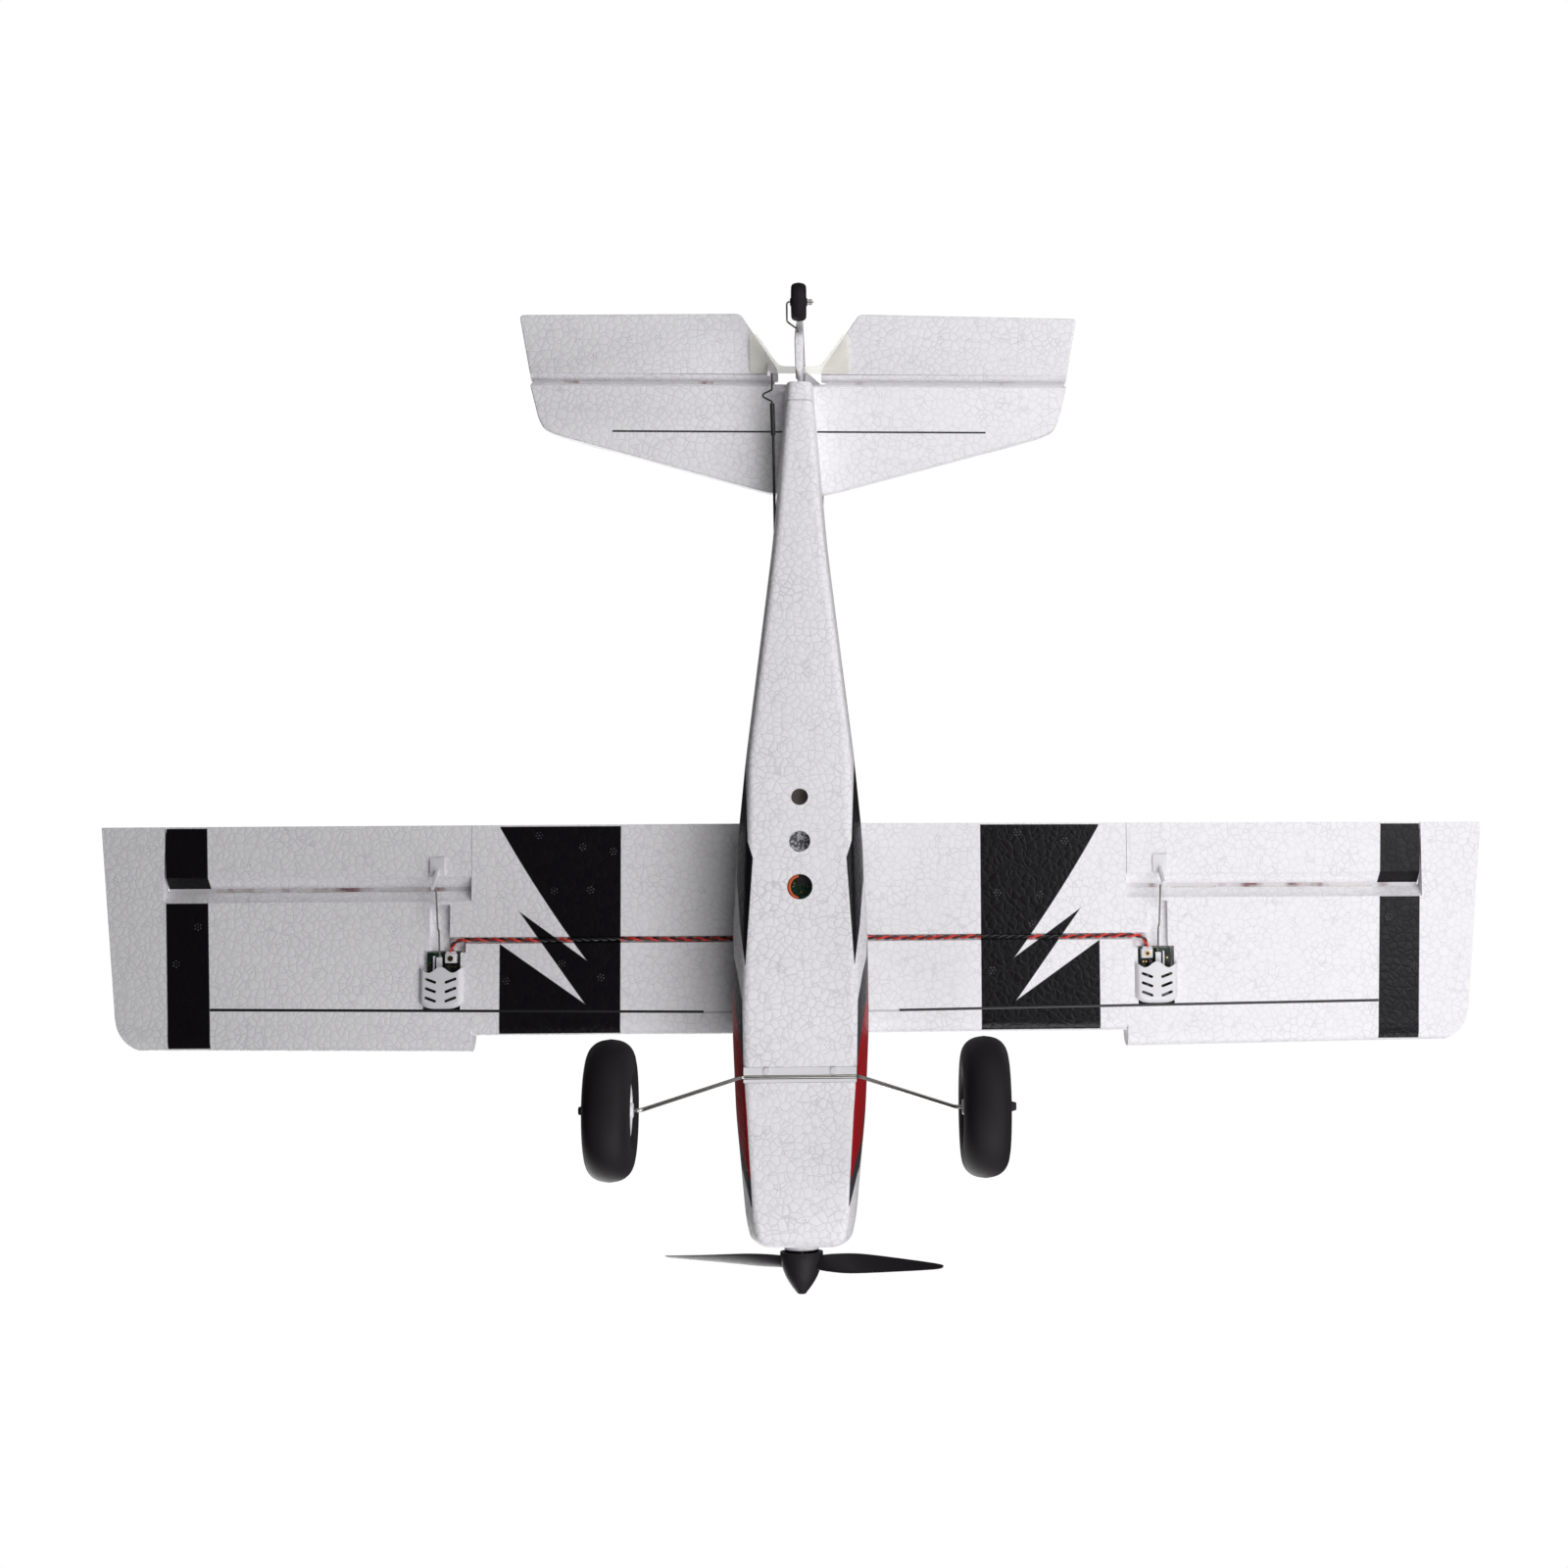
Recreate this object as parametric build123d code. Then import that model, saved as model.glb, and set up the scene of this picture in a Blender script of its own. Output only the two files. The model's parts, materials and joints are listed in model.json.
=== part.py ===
from build123d import *
import math
import os

os.makedirs("parts", exist_ok=True)

# A micro high-wing radio-control airplane in moulded foam, with a tail wheel.
# Datum while modelling: X to the left wing, Y aft with the wing's trailing edge at 0, Z up from
# the flat belly. Every piece is turned at the end so that the three wheels stand on the ground.
# All lengths are in millimetres.

# ---- driving dimensions: wing
SPAN = 616.0
DIHEDRAL = 2.0
WING_Z = 41.8
INNER_CHORD = 92.5
OUTER_CHORD = 99.5
TIP_CHORD = 98.0
WING_THICK = 10.0
TE_THICK = 1.2
CREST = 0.68
STEP_X = 145.0
TIP_X = 281.0
TIP_THICK = 5.0
AILERON_END_X = 280.0
HINGE_Y = -28.0
GROOVE_HALF = 5.4
HINGE_GAP = 0.3
END_GAP = 0.4
SPAR_D = 1.5
TIP_RAKE = 9.0
TIP_CORNER_R = 17.0
STRIP_COUNT = 3
STRIP_PITCH = 36.0
STRIP_START_X = 166.0
STRIP_LENGTH = 21.0

# ---- driving dimensions: aileron servo and linkage, placed in the flat wing
SERVO_X = 158.0
SERVO_FRONT_Y = -81.0
SERVO_BACK_Y = -56.0
SERVO_W = 14.6
BAY_DEPTH = 5.0
COVER_W = 19.6
COVER_FRONT_Y = -80.6
COVER_BACK_Y = -62.2
COVER_DROP = 2.6
ROD_X = 159.0
HORN_DROP = 8.0
HORN_THICK = 1.2
LINK_HOLE_R = 0.5
LOUVRES = 3
LOUVRE_PITCH = 4.4
WIRE_D = 0.8
LEAD_D = 1.8
LEAD_Y = -50.6

# ---- driving dimensions: fuselage
SPLIT_Z = 30.0
WALL = 4.5
NOSE_Y = -181.0
BAY_FRONT_Y = -160.0
SADDLE_FRONT_Y = -92.0
DECK_END_Y = 143.0
TAIL_END_Y = 191.5
THRUST_Z = 26.5
FLARE_H = 12.0
BELLY_HOLES = [(8.9, 3.6), (-10.0, 4.5), (-29.2, 5.4)]
ROD_R = 0.6
ROD_BORE_R = 1.3
ELEVATOR_ROD = [(8.2, -12.0, 16.0), (11.5, 170.0, 19.3)]
RUDDER_ROD = [(-7.2, -12.0, 21.0), (-10.3, 174.0, 39.7)]
HATCH_FRONT_GAP = 0.3
HATCH_BACK_GAP = 0.9
MAGNET_X = 17.0
MAGNET_R = 2.0
MAGNET_Y = SADDLE_FRONT_Y - HATCH_BACK_GAP - 2.2

# ---- driving dimensions: tail
TAIL_HALF_SPAN = 124.0
STAB_TIP_X = 118.8
STAB_THICK = 5.0
ELEVATOR_HINGE_Y = 196.0
ELEVATOR_TE_Y = 226.6
RUDDER_HINGE_Y = 194.0
RUDDER_THICK = 4.6
FIN_TOP_Z = 106.0
STAB_SPAR_R = 0.65
STAB_SPAR_ENDS = [(-82.5, 173, SPLIT_Z + 0.5), (82.5, 173, SPLIT_Z + 0.5)]

# ---- driving dimensions: wheels, propeller
AXLE_X = 74.4
AXLE_Y = -118.9
AXLE_Z = -43.8
TYRE_R = 28.2
TYRE_W = 18.8
HUB_R = 10.5
GEAR_WIRE_D = 1.6
GEAR_SLOT_Y = -109.0
GEAR_SCREW_X = 14.0
GEAR_SCREW_Y = GEAR_SLOT_Y + 2.6
PROP_R = 63.5
PROP_Y = -189.0
SPINNER_BASE_Y = -184.8
SPINNER_TIP_Y = -202.7
SPINNER_R = 9.2
TAIL_WHEEL_Y = 224.7
TAIL_WHEEL_Z = 7.0
TAIL_WHEEL_R = 8.3
TAIL_WHEEL_W = 6.6
TAIL_WIRE_TOP_Z = 13.6
SHAFT_R = 1.0
MOTOR_R = 9.0
PROP_TURN = -20.0
FIT = 0.05

# ---- driving dimensions: radio gear
BOARD_Z = WALL + 1.6
SERVO_FOOT_Z = BOARD_Z + 1.05
SERVO_SCREW_H = 3.4
ELEVATOR_SERVO_X = 8.0
RUDDER_SERVO_X = -7.0

# Blade stations: reach from the shaft, chord, twist in degrees.
BLADE_STATIONS = [
    (0.0, 5.0, 34),
    (10.0, 7.5, 32),
    (25.0, 12.6, 22),
    (45.0, 11.4, 14),
    (60.0, 7.6, 11),
    (PROP_R, 3.0, 10),
]

# Fuselage stations: Y, half width of the belly, of the sides, of the top, belly Z, top Z.
STATIONS = [
    (NOSE_Y, 17.0, 20.5, 14.0, 6.5, 43.0),
    (-172.0, 19.6, 23.3, 17.5, 2.6, 44.5),
    (-150.0, 21.6, 25.2, 20.0, 0.4, 46.0),
    (-125.0, 22.9, 27.6, 21.5, 0.0, 47.5),
    (-88.0, 24.0, 29.2, 24.0, 0.0, 52.0),
    (-50.0, 23.0, 28.9, 24.0, 0.0, 51.0),
    (-10.0, 22.0, 27.0, 22.0, 0.0, 48.0),
    (25.0, 21.8, 23.5, 17.0, 0.0, 45.0),
    (120.0, 10.4, 12.0, 7.0, 7.0, 37.5),
    (TAIL_END_Y, 4.6, 6.0, 4.0, 14.0, 34.0),
]


def solid_cylinder(radius, start, end):
    """A round bar from one point to another."""
    start = Vector(*start)
    axis = Vector(*end) - start
    return Plane(origin=start, z_dir=axis) * Cylinder(
        radius, axis.length, align=(Align.CENTER, Align.CENTER, Align.MIN)
    )


def block(x0, x1, y0, y1, z0, z1):
    """A box between two corners."""
    corner = Pos((x0 + x1) / 2, (y0 + y1) / 2, (z0 + z1) / 2)
    return corner * Box(x1 - x0, y1 - y0, z1 - z0)


def outline_prism(points, z0, z1):
    """A plan outline carried straight up from z0 to z1."""
    face = make_face(Polyline(*[(x, y, z0) for x, y in points], close=True))
    return extrude(face, amount=z1 - z0, dir=(0, 0, 1))


def side_prism(points, x0, x1):
    """A side outline of Y and Z points carried along X."""
    face = make_face(Polyline(*[(x0, y, z) for y, z in points], close=True))
    return extrude(face, amount=x1 - x0, dir=(1, 0, 0))


def bent_wire(points, radii, diameter):
    """A round wire along straight runs joined by arcs."""
    if len(set(radii)) == 1:
        path = FilletPolyline(*points, radius=radii[0])
    else:
        path = FilletPolyline(*points, radius=radii)
    start = path.position_at(0)
    section = Plane(origin=start, z_dir=path.tangent_at(0)) * Circle(diameter / 2)
    return sweep(section, path=path)


def closed_face(*curves):
    """The face inside curves that meet end to end."""
    edges = []
    for curve in curves:
        edges += curve.edges()
    return make_face(Wire(edges))


def mirrored(shape):
    return mirror(shape, about=Plane.YZ)


# ---------------------------------------------------------------- wing
def top_height(y, chord, thick):
    """Height of the wing's upper skin above its flat underside, aft of the crest."""
    crest_y = -CREST * chord
    share = (y - crest_y) / -crest_y
    return thick + (TE_THICK - thick) * share**1.5


def wing_section(x, chord, thick):
    """A flat-bottomed aerofoil standing at one span station."""
    crest_y = -CREST * chord
    le = (x, -chord, 0.34 * thick)
    drawn_at = (crest_y, crest_y * 0.7, crest_y * 0.35)
    upper = [(x, y, top_height(y, chord, thick)) for y in drawn_at]
    heel = (x, -0.88 * chord, 0)
    te_top = (x, 0, TE_THICK)
    te_low = (x, 0, 0)
    skin = Spline(le, *upper, te_top, tangents=((0, 0, 1), (0, 1, -0.2)))
    nose = Spline(heel, le, tangents=((0, -1, 0), (0, 0, 1)))
    flat = Line(te_low, heel)
    end = Line(te_top, te_low)
    return closed_face(skin, end, flat, nose)


def wing_run(x0, chord0, x1, chord1, thick1=WING_THICK):
    """A straight run of wing between two span stations."""
    return loft([wing_section(x0, chord0, WING_THICK), wing_section(x1, chord1, thick1)])


def wing_blank():
    """The left wing before its aileron and its bays are cut out."""
    inner = wing_run(0, INNER_CHORD, STEP_X, INNER_CHORD)
    outer = wing_run(STEP_X, OUTER_CHORD, TIP_X, TIP_CHORD)
    tip = wing_run(TIP_X, TIP_CHORD, SPAN / 2, TIP_CHORD, TIP_THICK)
    le_corner = (TIP_X, -TIP_CHORD - 1)
    tip_corner = (SPAN / 2 - TIP_RAKE, -TIP_CHORD - 1)
    edge = FilletPolyline(le_corner, tip_corner, (SPAN / 2, 0), radius=TIP_CORNER_R)
    behind = [(SPAN / 2, 0), (SPAN / 2, 2), (-2, 2)]
    before = [(-2, -TIP_CHORD - 5), (TIP_X, -TIP_CHORD - 5), le_corner]
    closing = Polyline(*behind, *before)
    plan = extrude(closed_face(edge, closing), amount=14, dir=(0, 0, 1))
    return (inner + outer + tip) & Pos(0, 0, -1) * plan


SPAR_ENDS = [(43, -82.7, 0.6), (259, -80.3, 0.6)]
HINGE_Z = top_height(HINGE_Y, OUTER_CHORD, WING_THICK)


def hinge_side(front):
    """Side outline of what lies aft of one face of the hinge groove."""
    step = -GROOVE_HALF if front else GROOVE_HALF
    gap = -HINGE_GAP / 2 if front else HINGE_GAP / 2
    face = HINGE_Y + gap
    foot = -HINGE_Z * 0.4
    return [(face, 14), (face, HINGE_Z), (face + step * 1.4, foot), (8, foot), (8, 14)]


def wing_panel(blank):
    """The wing with its aileron cut away, and the bay, recess and grooves of its underside."""
    half_gap = END_GAP / 2
    wing = blank - side_prism(hinge_side(True), STEP_X + half_gap, AILERON_END_X + half_gap)
    bay = SERVO_W / 2 + 0.9
    bay_front = SERVO_FRONT_Y - 0.8
    bay_back = SERVO_BACK_Y + 0.8
    wing -= block(SERVO_X - bay, SERVO_X + bay, bay_front, bay_back, -1, BAY_DEPTH)
    wing -= block(ROD_X - 4.5, ROD_X + 4.5, SERVO_BACK_Y, -35, -1, 3)
    wing -= solid_cylinder(SPAR_D / 2 + 0.1, *SPAR_ENDS)
    wing -= block(28, SERVO_X - 9, LEAD_Y - 1.6, LEAD_Y + 1.2, -1, 1.1)
    wing -= block(SERVO_X - 10.5, SERVO_X + 2, SERVO_BACK_Y, LEAD_Y + 1.4, -1, 2.6)
    return wing


def aileron(blank):
    keep = side_prism(hinge_side(False), STEP_X + END_GAP, AILERON_END_X - END_GAP)
    return blank & keep


def hinge_strips():
    """Three flexible strips let into the wing along the aileron's hinge line."""
    strips = Part()
    for index in range(STRIP_COUNT):
        x0 = STRIP_START_X + STRIP_PITCH * index
        x1 = x0 + STRIP_LENGTH
        strips += block(x0, x1, HINGE_Y - 5, HINGE_Y - 0.2, HINGE_Z - 0.95, HINGE_Z - 0.65)
    return strips


def aileron_horn():
    """A thin plastic horn under the aileron, with three link holes."""
    x0 = ROD_X + WIRE_D / 2 + 0.25
    tip_z = -HORN_DROP - 1.6
    profile = [(-28.9, tip_z), (-26.6, tip_z), (-19, -0.05), (-22.4, -0.05)]
    fin = side_prism(profile, x0, x0 + HORN_THICK)
    base = block(x0 - 2.6, x0 + 3.8, -22.0, -14.5, -0.8, -0.02)
    holes = Part()
    for index in range(3):
        y = HINGE_Y + 0.4 + 1.5 * index
        z = -HORN_DROP + 2.2 * index
        holes += solid_cylinder(LINK_HOLE_R, (x0 - 1, y, z), (x0 + 3, y, z))
    return fin + base - holes


def aileron_pushrod():
    """The wire from the servo's slider to the horn."""
    points = [
        (ROD_X, -58.2, 0.4),
        (ROD_X, -47.0, -1.2),
        (ROD_X, -45.2, -4.0),
        (ROD_X, -28.0, -HORN_DROP),
    ]
    return bent_wire(points, [1.2, 1.2], WIRE_D)


def servo_board():
    half = SERVO_W / 2
    return block(SERVO_X - half, SERVO_X + half, SERVO_FRONT_Y, SERVO_BACK_Y, 4.0, 4.8)


def servo_motor():
    """The servo's small motor, its gear case, and its lead screw."""
    x = SERVO_X - 4.2
    can = solid_cylinder(2.1, (x, -73.5, 1.85), (x, -64.5, 1.85))
    case = block(SERVO_X - 6.6, SERVO_X + 5.5, -77.4, -73.5, 0.1, 3.95)
    screw = solid_cylinder(0.7, (ROD_X, -73.5, 1.85), (ROD_X, -57.0, 1.85))
    return can + case + screw


def servo_slider():
    """The nut that the lead screw drives, which carries the pushrod."""
    body = block(ROD_X - 2.0, ROD_X + 2.0, -68.0, -63.0, 0.4, 3.4)
    arm = block(ROD_X - 1.2, ROD_X + 1.2, -68.0, -58.0, -0.4, 0.42)
    bore = solid_cylinder(0.75, (ROD_X, -75, 1.85), (ROD_X, -55, 1.85))
    seat = solid_cylinder(WIRE_D / 2, (ROD_X, -58.2, 0.4), (ROD_X, -50, 0.4))
    return body + arm - bore - seat


def servo_cover():
    """A moulded plastic cover with two columns of three louvres."""
    x0 = SERVO_X - COVER_W / 2
    x1 = SERVO_X + COVER_W / 2
    flange = block(x0, x1, COVER_FRONT_Y, COVER_BACK_Y, -0.7, -0.02)
    hood = block(x0 + 2, x1 - 2, COVER_FRONT_Y + 2, COVER_BACK_Y, -COVER_DROP, -0.1)
    hollow = block(x0 + 2.8, x1 - 2.8, COVER_FRONT_Y + 2.8, COVER_BACK_Y + 1, -COVER_DROP + 0.8, 1)
    cover = flange + hood - hollow
    for row in range(LOUVRES):
        y = COVER_BACK_Y - 4.6 - LOUVRE_PITCH * row
        for side in (-1, 1):
            x = SERVO_X + side * 3.6
            cover -= block(x - 2.6, x + 2.6, y - 0.7, y + 0.7, -COVER_DROP - 1, 0.5)
    return cover


def servo_plug():
    """The lead's small white connector on the edge of the servo's board."""
    return block(SERVO_X - 6.3, SERVO_X - 1.6, -61.0, -56.2, 0.9, 3.95)


LEAD_ROUTE = [
    (SERVO_X - 4.0, -56.2, 1.3),
    (SERVO_X - 4.0, -51.2, 1.0),
    (SERVO_X - 9.0, LEAD_Y, 0.0),
    (SERVO_X - 50.0, LEAD_Y - 0.3, 0.0),
    (SERVO_X - 92.0, LEAD_Y, 0.0),
    (31.0, LEAD_Y - 0.2, 0.0),
]


def servo_lead():
    """The twisted pair that lies in the groove from the servo to the fuselage."""
    radii = [2.4, 3.2, 60.0, 60.0]
    return bent_wire(LEAD_ROUTE, radii, LEAD_D)


def place_wing(shape):
    """Lift a piece of the flat left wing to its place, with the wing's dihedral."""
    return Pos(0, 0, WING_Z) * (Rot(0, -DIHEDRAL, 0) * shape)


# ---------------------------------------------------------------- fuselage
def station_at(y):
    """The station's sizes at any Y, between the listed ones."""
    for a, b in zip(STATIONS, STATIONS[1:]):
        if a[0] <= y <= b[0]:
            share = (y - a[0]) / (b[0] - a[0])
            return [p + (q - p) * share for p, q in zip(a, b)]
    return list(STATIONS[-1])


def lower_section(y, wall, top):
    """The section below the split, drawn inward by a wall."""
    _, belly, side, _, z0, _ = station_at(y)
    flare = z0 + FLARE_H * min(1, (SPLIT_Z - z0) / 22)
    b = belly - wall * 0.9
    s = side - wall
    z = z0 + wall
    points = [(-b, z), (b, z), (s, flare), (s, top), (-s, top), (-s, flare)]
    return make_face(Polyline(*[(x, y, height) for x, height in points], close=True))


def upper_section(y, wall, low):
    """The section above the split, drawn inward by a wall."""
    _, _, side, top_half, _, top = station_at(y)
    s = side - wall
    t = top_half - wall * 0.9
    points = [(-s, low), (s, low), (t, top - wall), (-t, top - wall)]
    return make_face(Polyline(*[(x, y, height) for x, height in points], close=True))


def run_of(section, ys, wall, level):
    return loft([section(y, wall, level) for y in ys], ruled=True)


def ys_between(y0, y1):
    inside = [s[0] for s in STATIONS if y0 < s[0] < y1]
    return [y0] + inside + [y1]


def wing_saddle():
    """The room that the wing's middle takes out of the fuselage."""
    left = wing_run(-1, INNER_CHORD, 40, INNER_CHORD)
    slot = block(-1, 40, -INNER_CHORD - 0.2, 0.5, 0, 14)
    left = place_wing(left + slot)
    return left + mirrored(left)


def fuselage_tub():
    """The lower shell: belly, sides and the full-height nose, open above."""
    shell = run_of(lower_section, ys_between(NOSE_Y, TAIL_END_Y), 0, SPLIT_Z)
    shell += run_of(upper_section, ys_between(NOSE_Y, BAY_FRONT_Y), 0, SPLIT_Z)
    shell -= run_of(lower_section, ys_between(BAY_FRONT_Y, 138), WALL, SPLIT_Z + 1)
    shell += solid_cylinder(7.5, (0, NOSE_Y - 3.0, THRUST_Z), (0, NOSE_Y + 2, THRUST_Z))
    shell -= solid_cylinder(2.6, (0, -190, THRUST_Z), (0, -170, THRUST_Z))
    shell -= solid_cylinder(10.6, (0, -177.5, THRUST_Z), (0, -160, THRUST_Z))
    for y, radius in BELLY_HOLES:
        shell -= solid_cylinder(radius, (0, y, -1), (0, y, WALL + 1))
    shell -= block(-23.8, 23.8, GEAR_SLOT_Y - 2.4, GEAR_SLOT_Y + 4.2, -1, 3.6)
    shell -= block(-27, 27, GEAR_SLOT_Y - 1.6, GEAR_SLOT_Y + 1.0, -1, 2.2)
    for path in (ELEVATOR_ROD, RUDDER_ROD):
        shell -= solid_cylinder(ROD_BORE_R, *path)
    return shell - solid_cylinder(STAB_SPAR_R + 0.08, *STAB_SPAR_ENDS)


def fuselage_deck():
    """The upper shell from the wing's seat back to the stabilizer."""
    shell = run_of(upper_section, ys_between(SADDLE_FRONT_Y, DECK_END_Y), 0, SPLIT_Z)
    shell -= run_of(upper_section, ys_between(SADDLE_FRONT_Y + WALL, 130), WALL, SPLIT_Z - 1)
    shell -= wing_saddle()
    for path in (ELEVATOR_ROD, RUDDER_ROD):
        shell -= solid_cylinder(ROD_BORE_R, *path)
    return shell


def canopy_hatch():
    """The lift-off cowl top and windscreen over the battery bay."""
    front = BAY_FRONT_Y + HATCH_FRONT_GAP
    back = SADDLE_FRONT_Y - HATCH_BACK_GAP
    shell = run_of(upper_section, ys_between(front, back), 0, SPLIT_Z + 0.2)
    shell -= run_of(upper_section, ys_between(front + WALL, back - WALL), WALL, SPLIT_Z - 1)
    for side in (-1, 1):
        x = side * MAGNET_X
        shell -= solid_cylinder(MAGNET_R + FIT, (x, MAGNET_Y, 29), (x, MAGNET_Y, 33.3))
    return shell


def hatch_magnets(z0, z1):
    magnets = Part()
    for side in (-1, 1):
        x = side * MAGNET_X
        magnets += solid_cylinder(MAGNET_R, (x, MAGNET_Y, z0), (x, MAGNET_Y, z1))
    return magnets


def magnet_bridge():
    """A light former across the tub, with the magnets that hold the hatch."""
    half = station_at(MAGNET_Y)[2] - WALL - 0.4
    bridge = block(-half, half, MAGNET_Y - 3, MAGNET_Y + 3, 26.5, SPLIT_Z - 0.1)
    return [bridge - hatch_magnets(28.4, 40), hatch_magnets(28.5, 29.8)]


# ---------------------------------------------------------------- landing gear
def landing_gear_plate():
    """The plastic plate let into the belly, with the groove that holds the wire."""
    plate = block(-23.7, 23.7, GEAR_SLOT_Y - 2.3, GEAR_SLOT_Y + 4.1, 0.0, 3.5)
    plate -= block(-24, 24, GEAR_SLOT_Y - 0.85, GEAR_SLOT_Y + 0.85, -1, 1.7)
    for x in (-GEAR_SCREW_X, GEAR_SCREW_X):
        plate -= solid_cylinder(0.8, (x, GEAR_SCREW_Y, -1), (x, GEAR_SCREW_Y, 2.5))
    return plate


def gear_screws():
    screws = Part()
    for x in (-GEAR_SCREW_X, GEAR_SCREW_X):
        screws += solid_cylinder(0.75, (x, GEAR_SCREW_Y, 0), (x, GEAR_SCREW_Y, 2.4))
        screws += solid_cylinder(1.3, (x, GEAR_SCREW_Y, -0.7), (x, GEAR_SCREW_Y, -0.02))
    return screws


def landing_gear_wire():
    """One spring-steel wire: both axles, both legs and the run in the plate."""
    end_x = AXLE_X + TYRE_W / 2 + 2.6
    knee_x = AXLE_X - TYRE_W / 2 - 2.4
    half = [(24.6, GEAR_SLOT_Y, 0.8), (knee_x, AXLE_Y, AXLE_Z), (end_x, AXLE_Y, AXLE_Z)]
    points = [(-x, y, z) for x, y, z in reversed(half)] + half
    return bent_wire(points, [3.0, 2.5, 2.5, 3.0], GEAR_WIRE_D)


def tyre():
    """A soft hollow-looking tyre with a round tread and a bore for the hub."""
    half = TYRE_W / 2
    inner = (AXLE_X - half, TYRE_R - 6)
    outer = (AXLE_X + half, TYRE_R - 6)
    arc = ThreePointArc(inner, (AXLE_X, TYRE_R), outer)
    sides = Polyline(outer, (AXLE_X + half - 2, HUB_R), (AXLE_X - half + 2, HUB_R), inner)
    ring = revolve(closed_face(arc, sides), axis=Axis.X)
    return Pos(0, AXLE_Y, AXLE_Z) * ring


def hub():
    """The moulded plastic hub, bored for the axle."""
    half = TYRE_W / 2 - 1.6
    barrel = solid_cylinder(HUB_R - 0.02, (AXLE_X - half, 0, 0), (AXLE_X + half, 0, 0))
    for side in (-1, 1):
        face = AXLE_X + side * half
        barrel -= solid_cylinder(8.6, (face, 0, 0), (face - side * 4.5, 0, 0))
    boss = solid_cylinder(3.0, (AXLE_X - half - 1.3, 0, 0), (AXLE_X + half + 1.3, 0, 0))
    bore = solid_cylinder(GEAR_WIRE_D / 2 + FIT, (0, 0, 0), (AXLE_X + 40, 0, 0))
    return Pos(0, AXLE_Y, AXLE_Z) * (barrel + boss - bore)


def wheel_retainer():
    """A black push-on cap on the axle's end."""
    start = AXLE_X + TYRE_W / 2 + 0.1
    cap = Pos(start, AXLE_Y, AXLE_Z) * Rot(0, 90, 0) * Cone(
        2.5, 1.5, 3.2, align=(Align.CENTER, Align.CENTER, Align.MIN)
    )
    bore_ends = [(start - 1, AXLE_Y, AXLE_Z), (start + 2.5, AXLE_Y, AXLE_Z)]
    return cap - solid_cylinder(GEAR_WIRE_D / 2, *bore_ends)


# ---------------------------------------------------------------- motor and propeller
def motor_mount():
    """The printed firewall plate behind the nose foam."""
    plate = solid_cylinder(10.3, (0, -162.6, THRUST_Z), (0, -161.2, THRUST_Z))
    return plate - solid_cylinder(2.2, (0, -170, THRUST_Z), (0, -150, THRUST_Z))


def motor_stator():
    """The motor's fixed core and its back plate."""
    core = solid_cylinder(6.6, (0, -173.5, THRUST_Z), (0, -164.2, THRUST_Z))
    back = solid_cylinder(8.4, (0, -164.2, THRUST_Z), (0, -162.65, THRUST_Z))
    bore = solid_cylinder(SHAFT_R + FIT, (0, -180, THRUST_Z), (0, -160, THRUST_Z))
    return core + back - bore


def motor_bell():
    """The turning can with its magnets, closed in front."""
    can = solid_cylinder(MOTOR_R, (0, -176.5, THRUST_Z), (0, -164.8, THRUST_Z))
    hollow = solid_cylinder(MOTOR_R - 1.8, (0, -174.5, THRUST_Z), (0, -160, THRUST_Z))
    return can - hollow - solid_cylinder(SHAFT_R, (0, -190, THRUST_Z), (0, -170, THRUST_Z))


def motor_shaft():
    return solid_cylinder(SHAFT_R, (0, -194.6, THRUST_Z), (0, -163.2, THRUST_Z))


def propeller():
    """A two-blade moulded propeller: a twisted, tapered blade each side of a hub."""
    faces = []
    for reach, chord, twist in BLADE_STATIONS:
        across = Plane(origin=(reach, 0, 0), x_dir=(0, 0, 1), z_dir=(1, 0, 0))
        faces.append(across * (Rot(0, 0, twist) * Ellipse(chord / 2, 0.11 * chord)))
    blade = loft(faces)
    pair = blade + Rot(0, 180, 0) * blade
    boss = solid_cylinder(4.4, (0, -2.6, 0), (0, 3.2, 0))
    prop = pair + boss - solid_cylinder(SHAFT_R, (0, -10, 0), (0, 10, 0))
    return Pos(0, PROP_Y, THRUST_Z) * (Rot(0, PROP_TURN, 0) * prop)


def spinner():
    """The pointed nose cap, hollow behind, with a slot for each blade."""
    length = SPINNER_BASE_Y - SPINNER_TIP_Y
    tip = 1.9
    outer = Spline((SPINNER_R, 0), (0.86 * SPINNER_R, 0.36 * length), (tip, length))
    shell = closed_face(outer, Polyline((tip, length), (0, length), (0, 0), (SPINNER_R, 0)))
    body = revolve(shell, axis=Axis.Y)
    body -= Rot(90, 0, 0) * Cylinder(SPINNER_R - 1.8, 10.0)
    body -= Rot(90, 0, 0) * Cylinder(3.4, 22.0)
    body = Pos(0, SPINNER_BASE_Y, THRUST_Z) * (Rot(180, 0, 0) * body)
    slot = Pos(0, PROP_Y + 1.2, THRUST_Z) * (Rot(0, PROP_TURN, 0) * Box(30, 8.4, 9.6))
    return body - slot


def propeller_nut():
    nut = solid_cylinder(2.4, (0, -194.4, THRUST_Z), (0, PROP_Y - 2.65, THRUST_Z))
    return nut - solid_cylinder(SHAFT_R, (0, -199, THRUST_Z), (0, -180, THRUST_Z))


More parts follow.
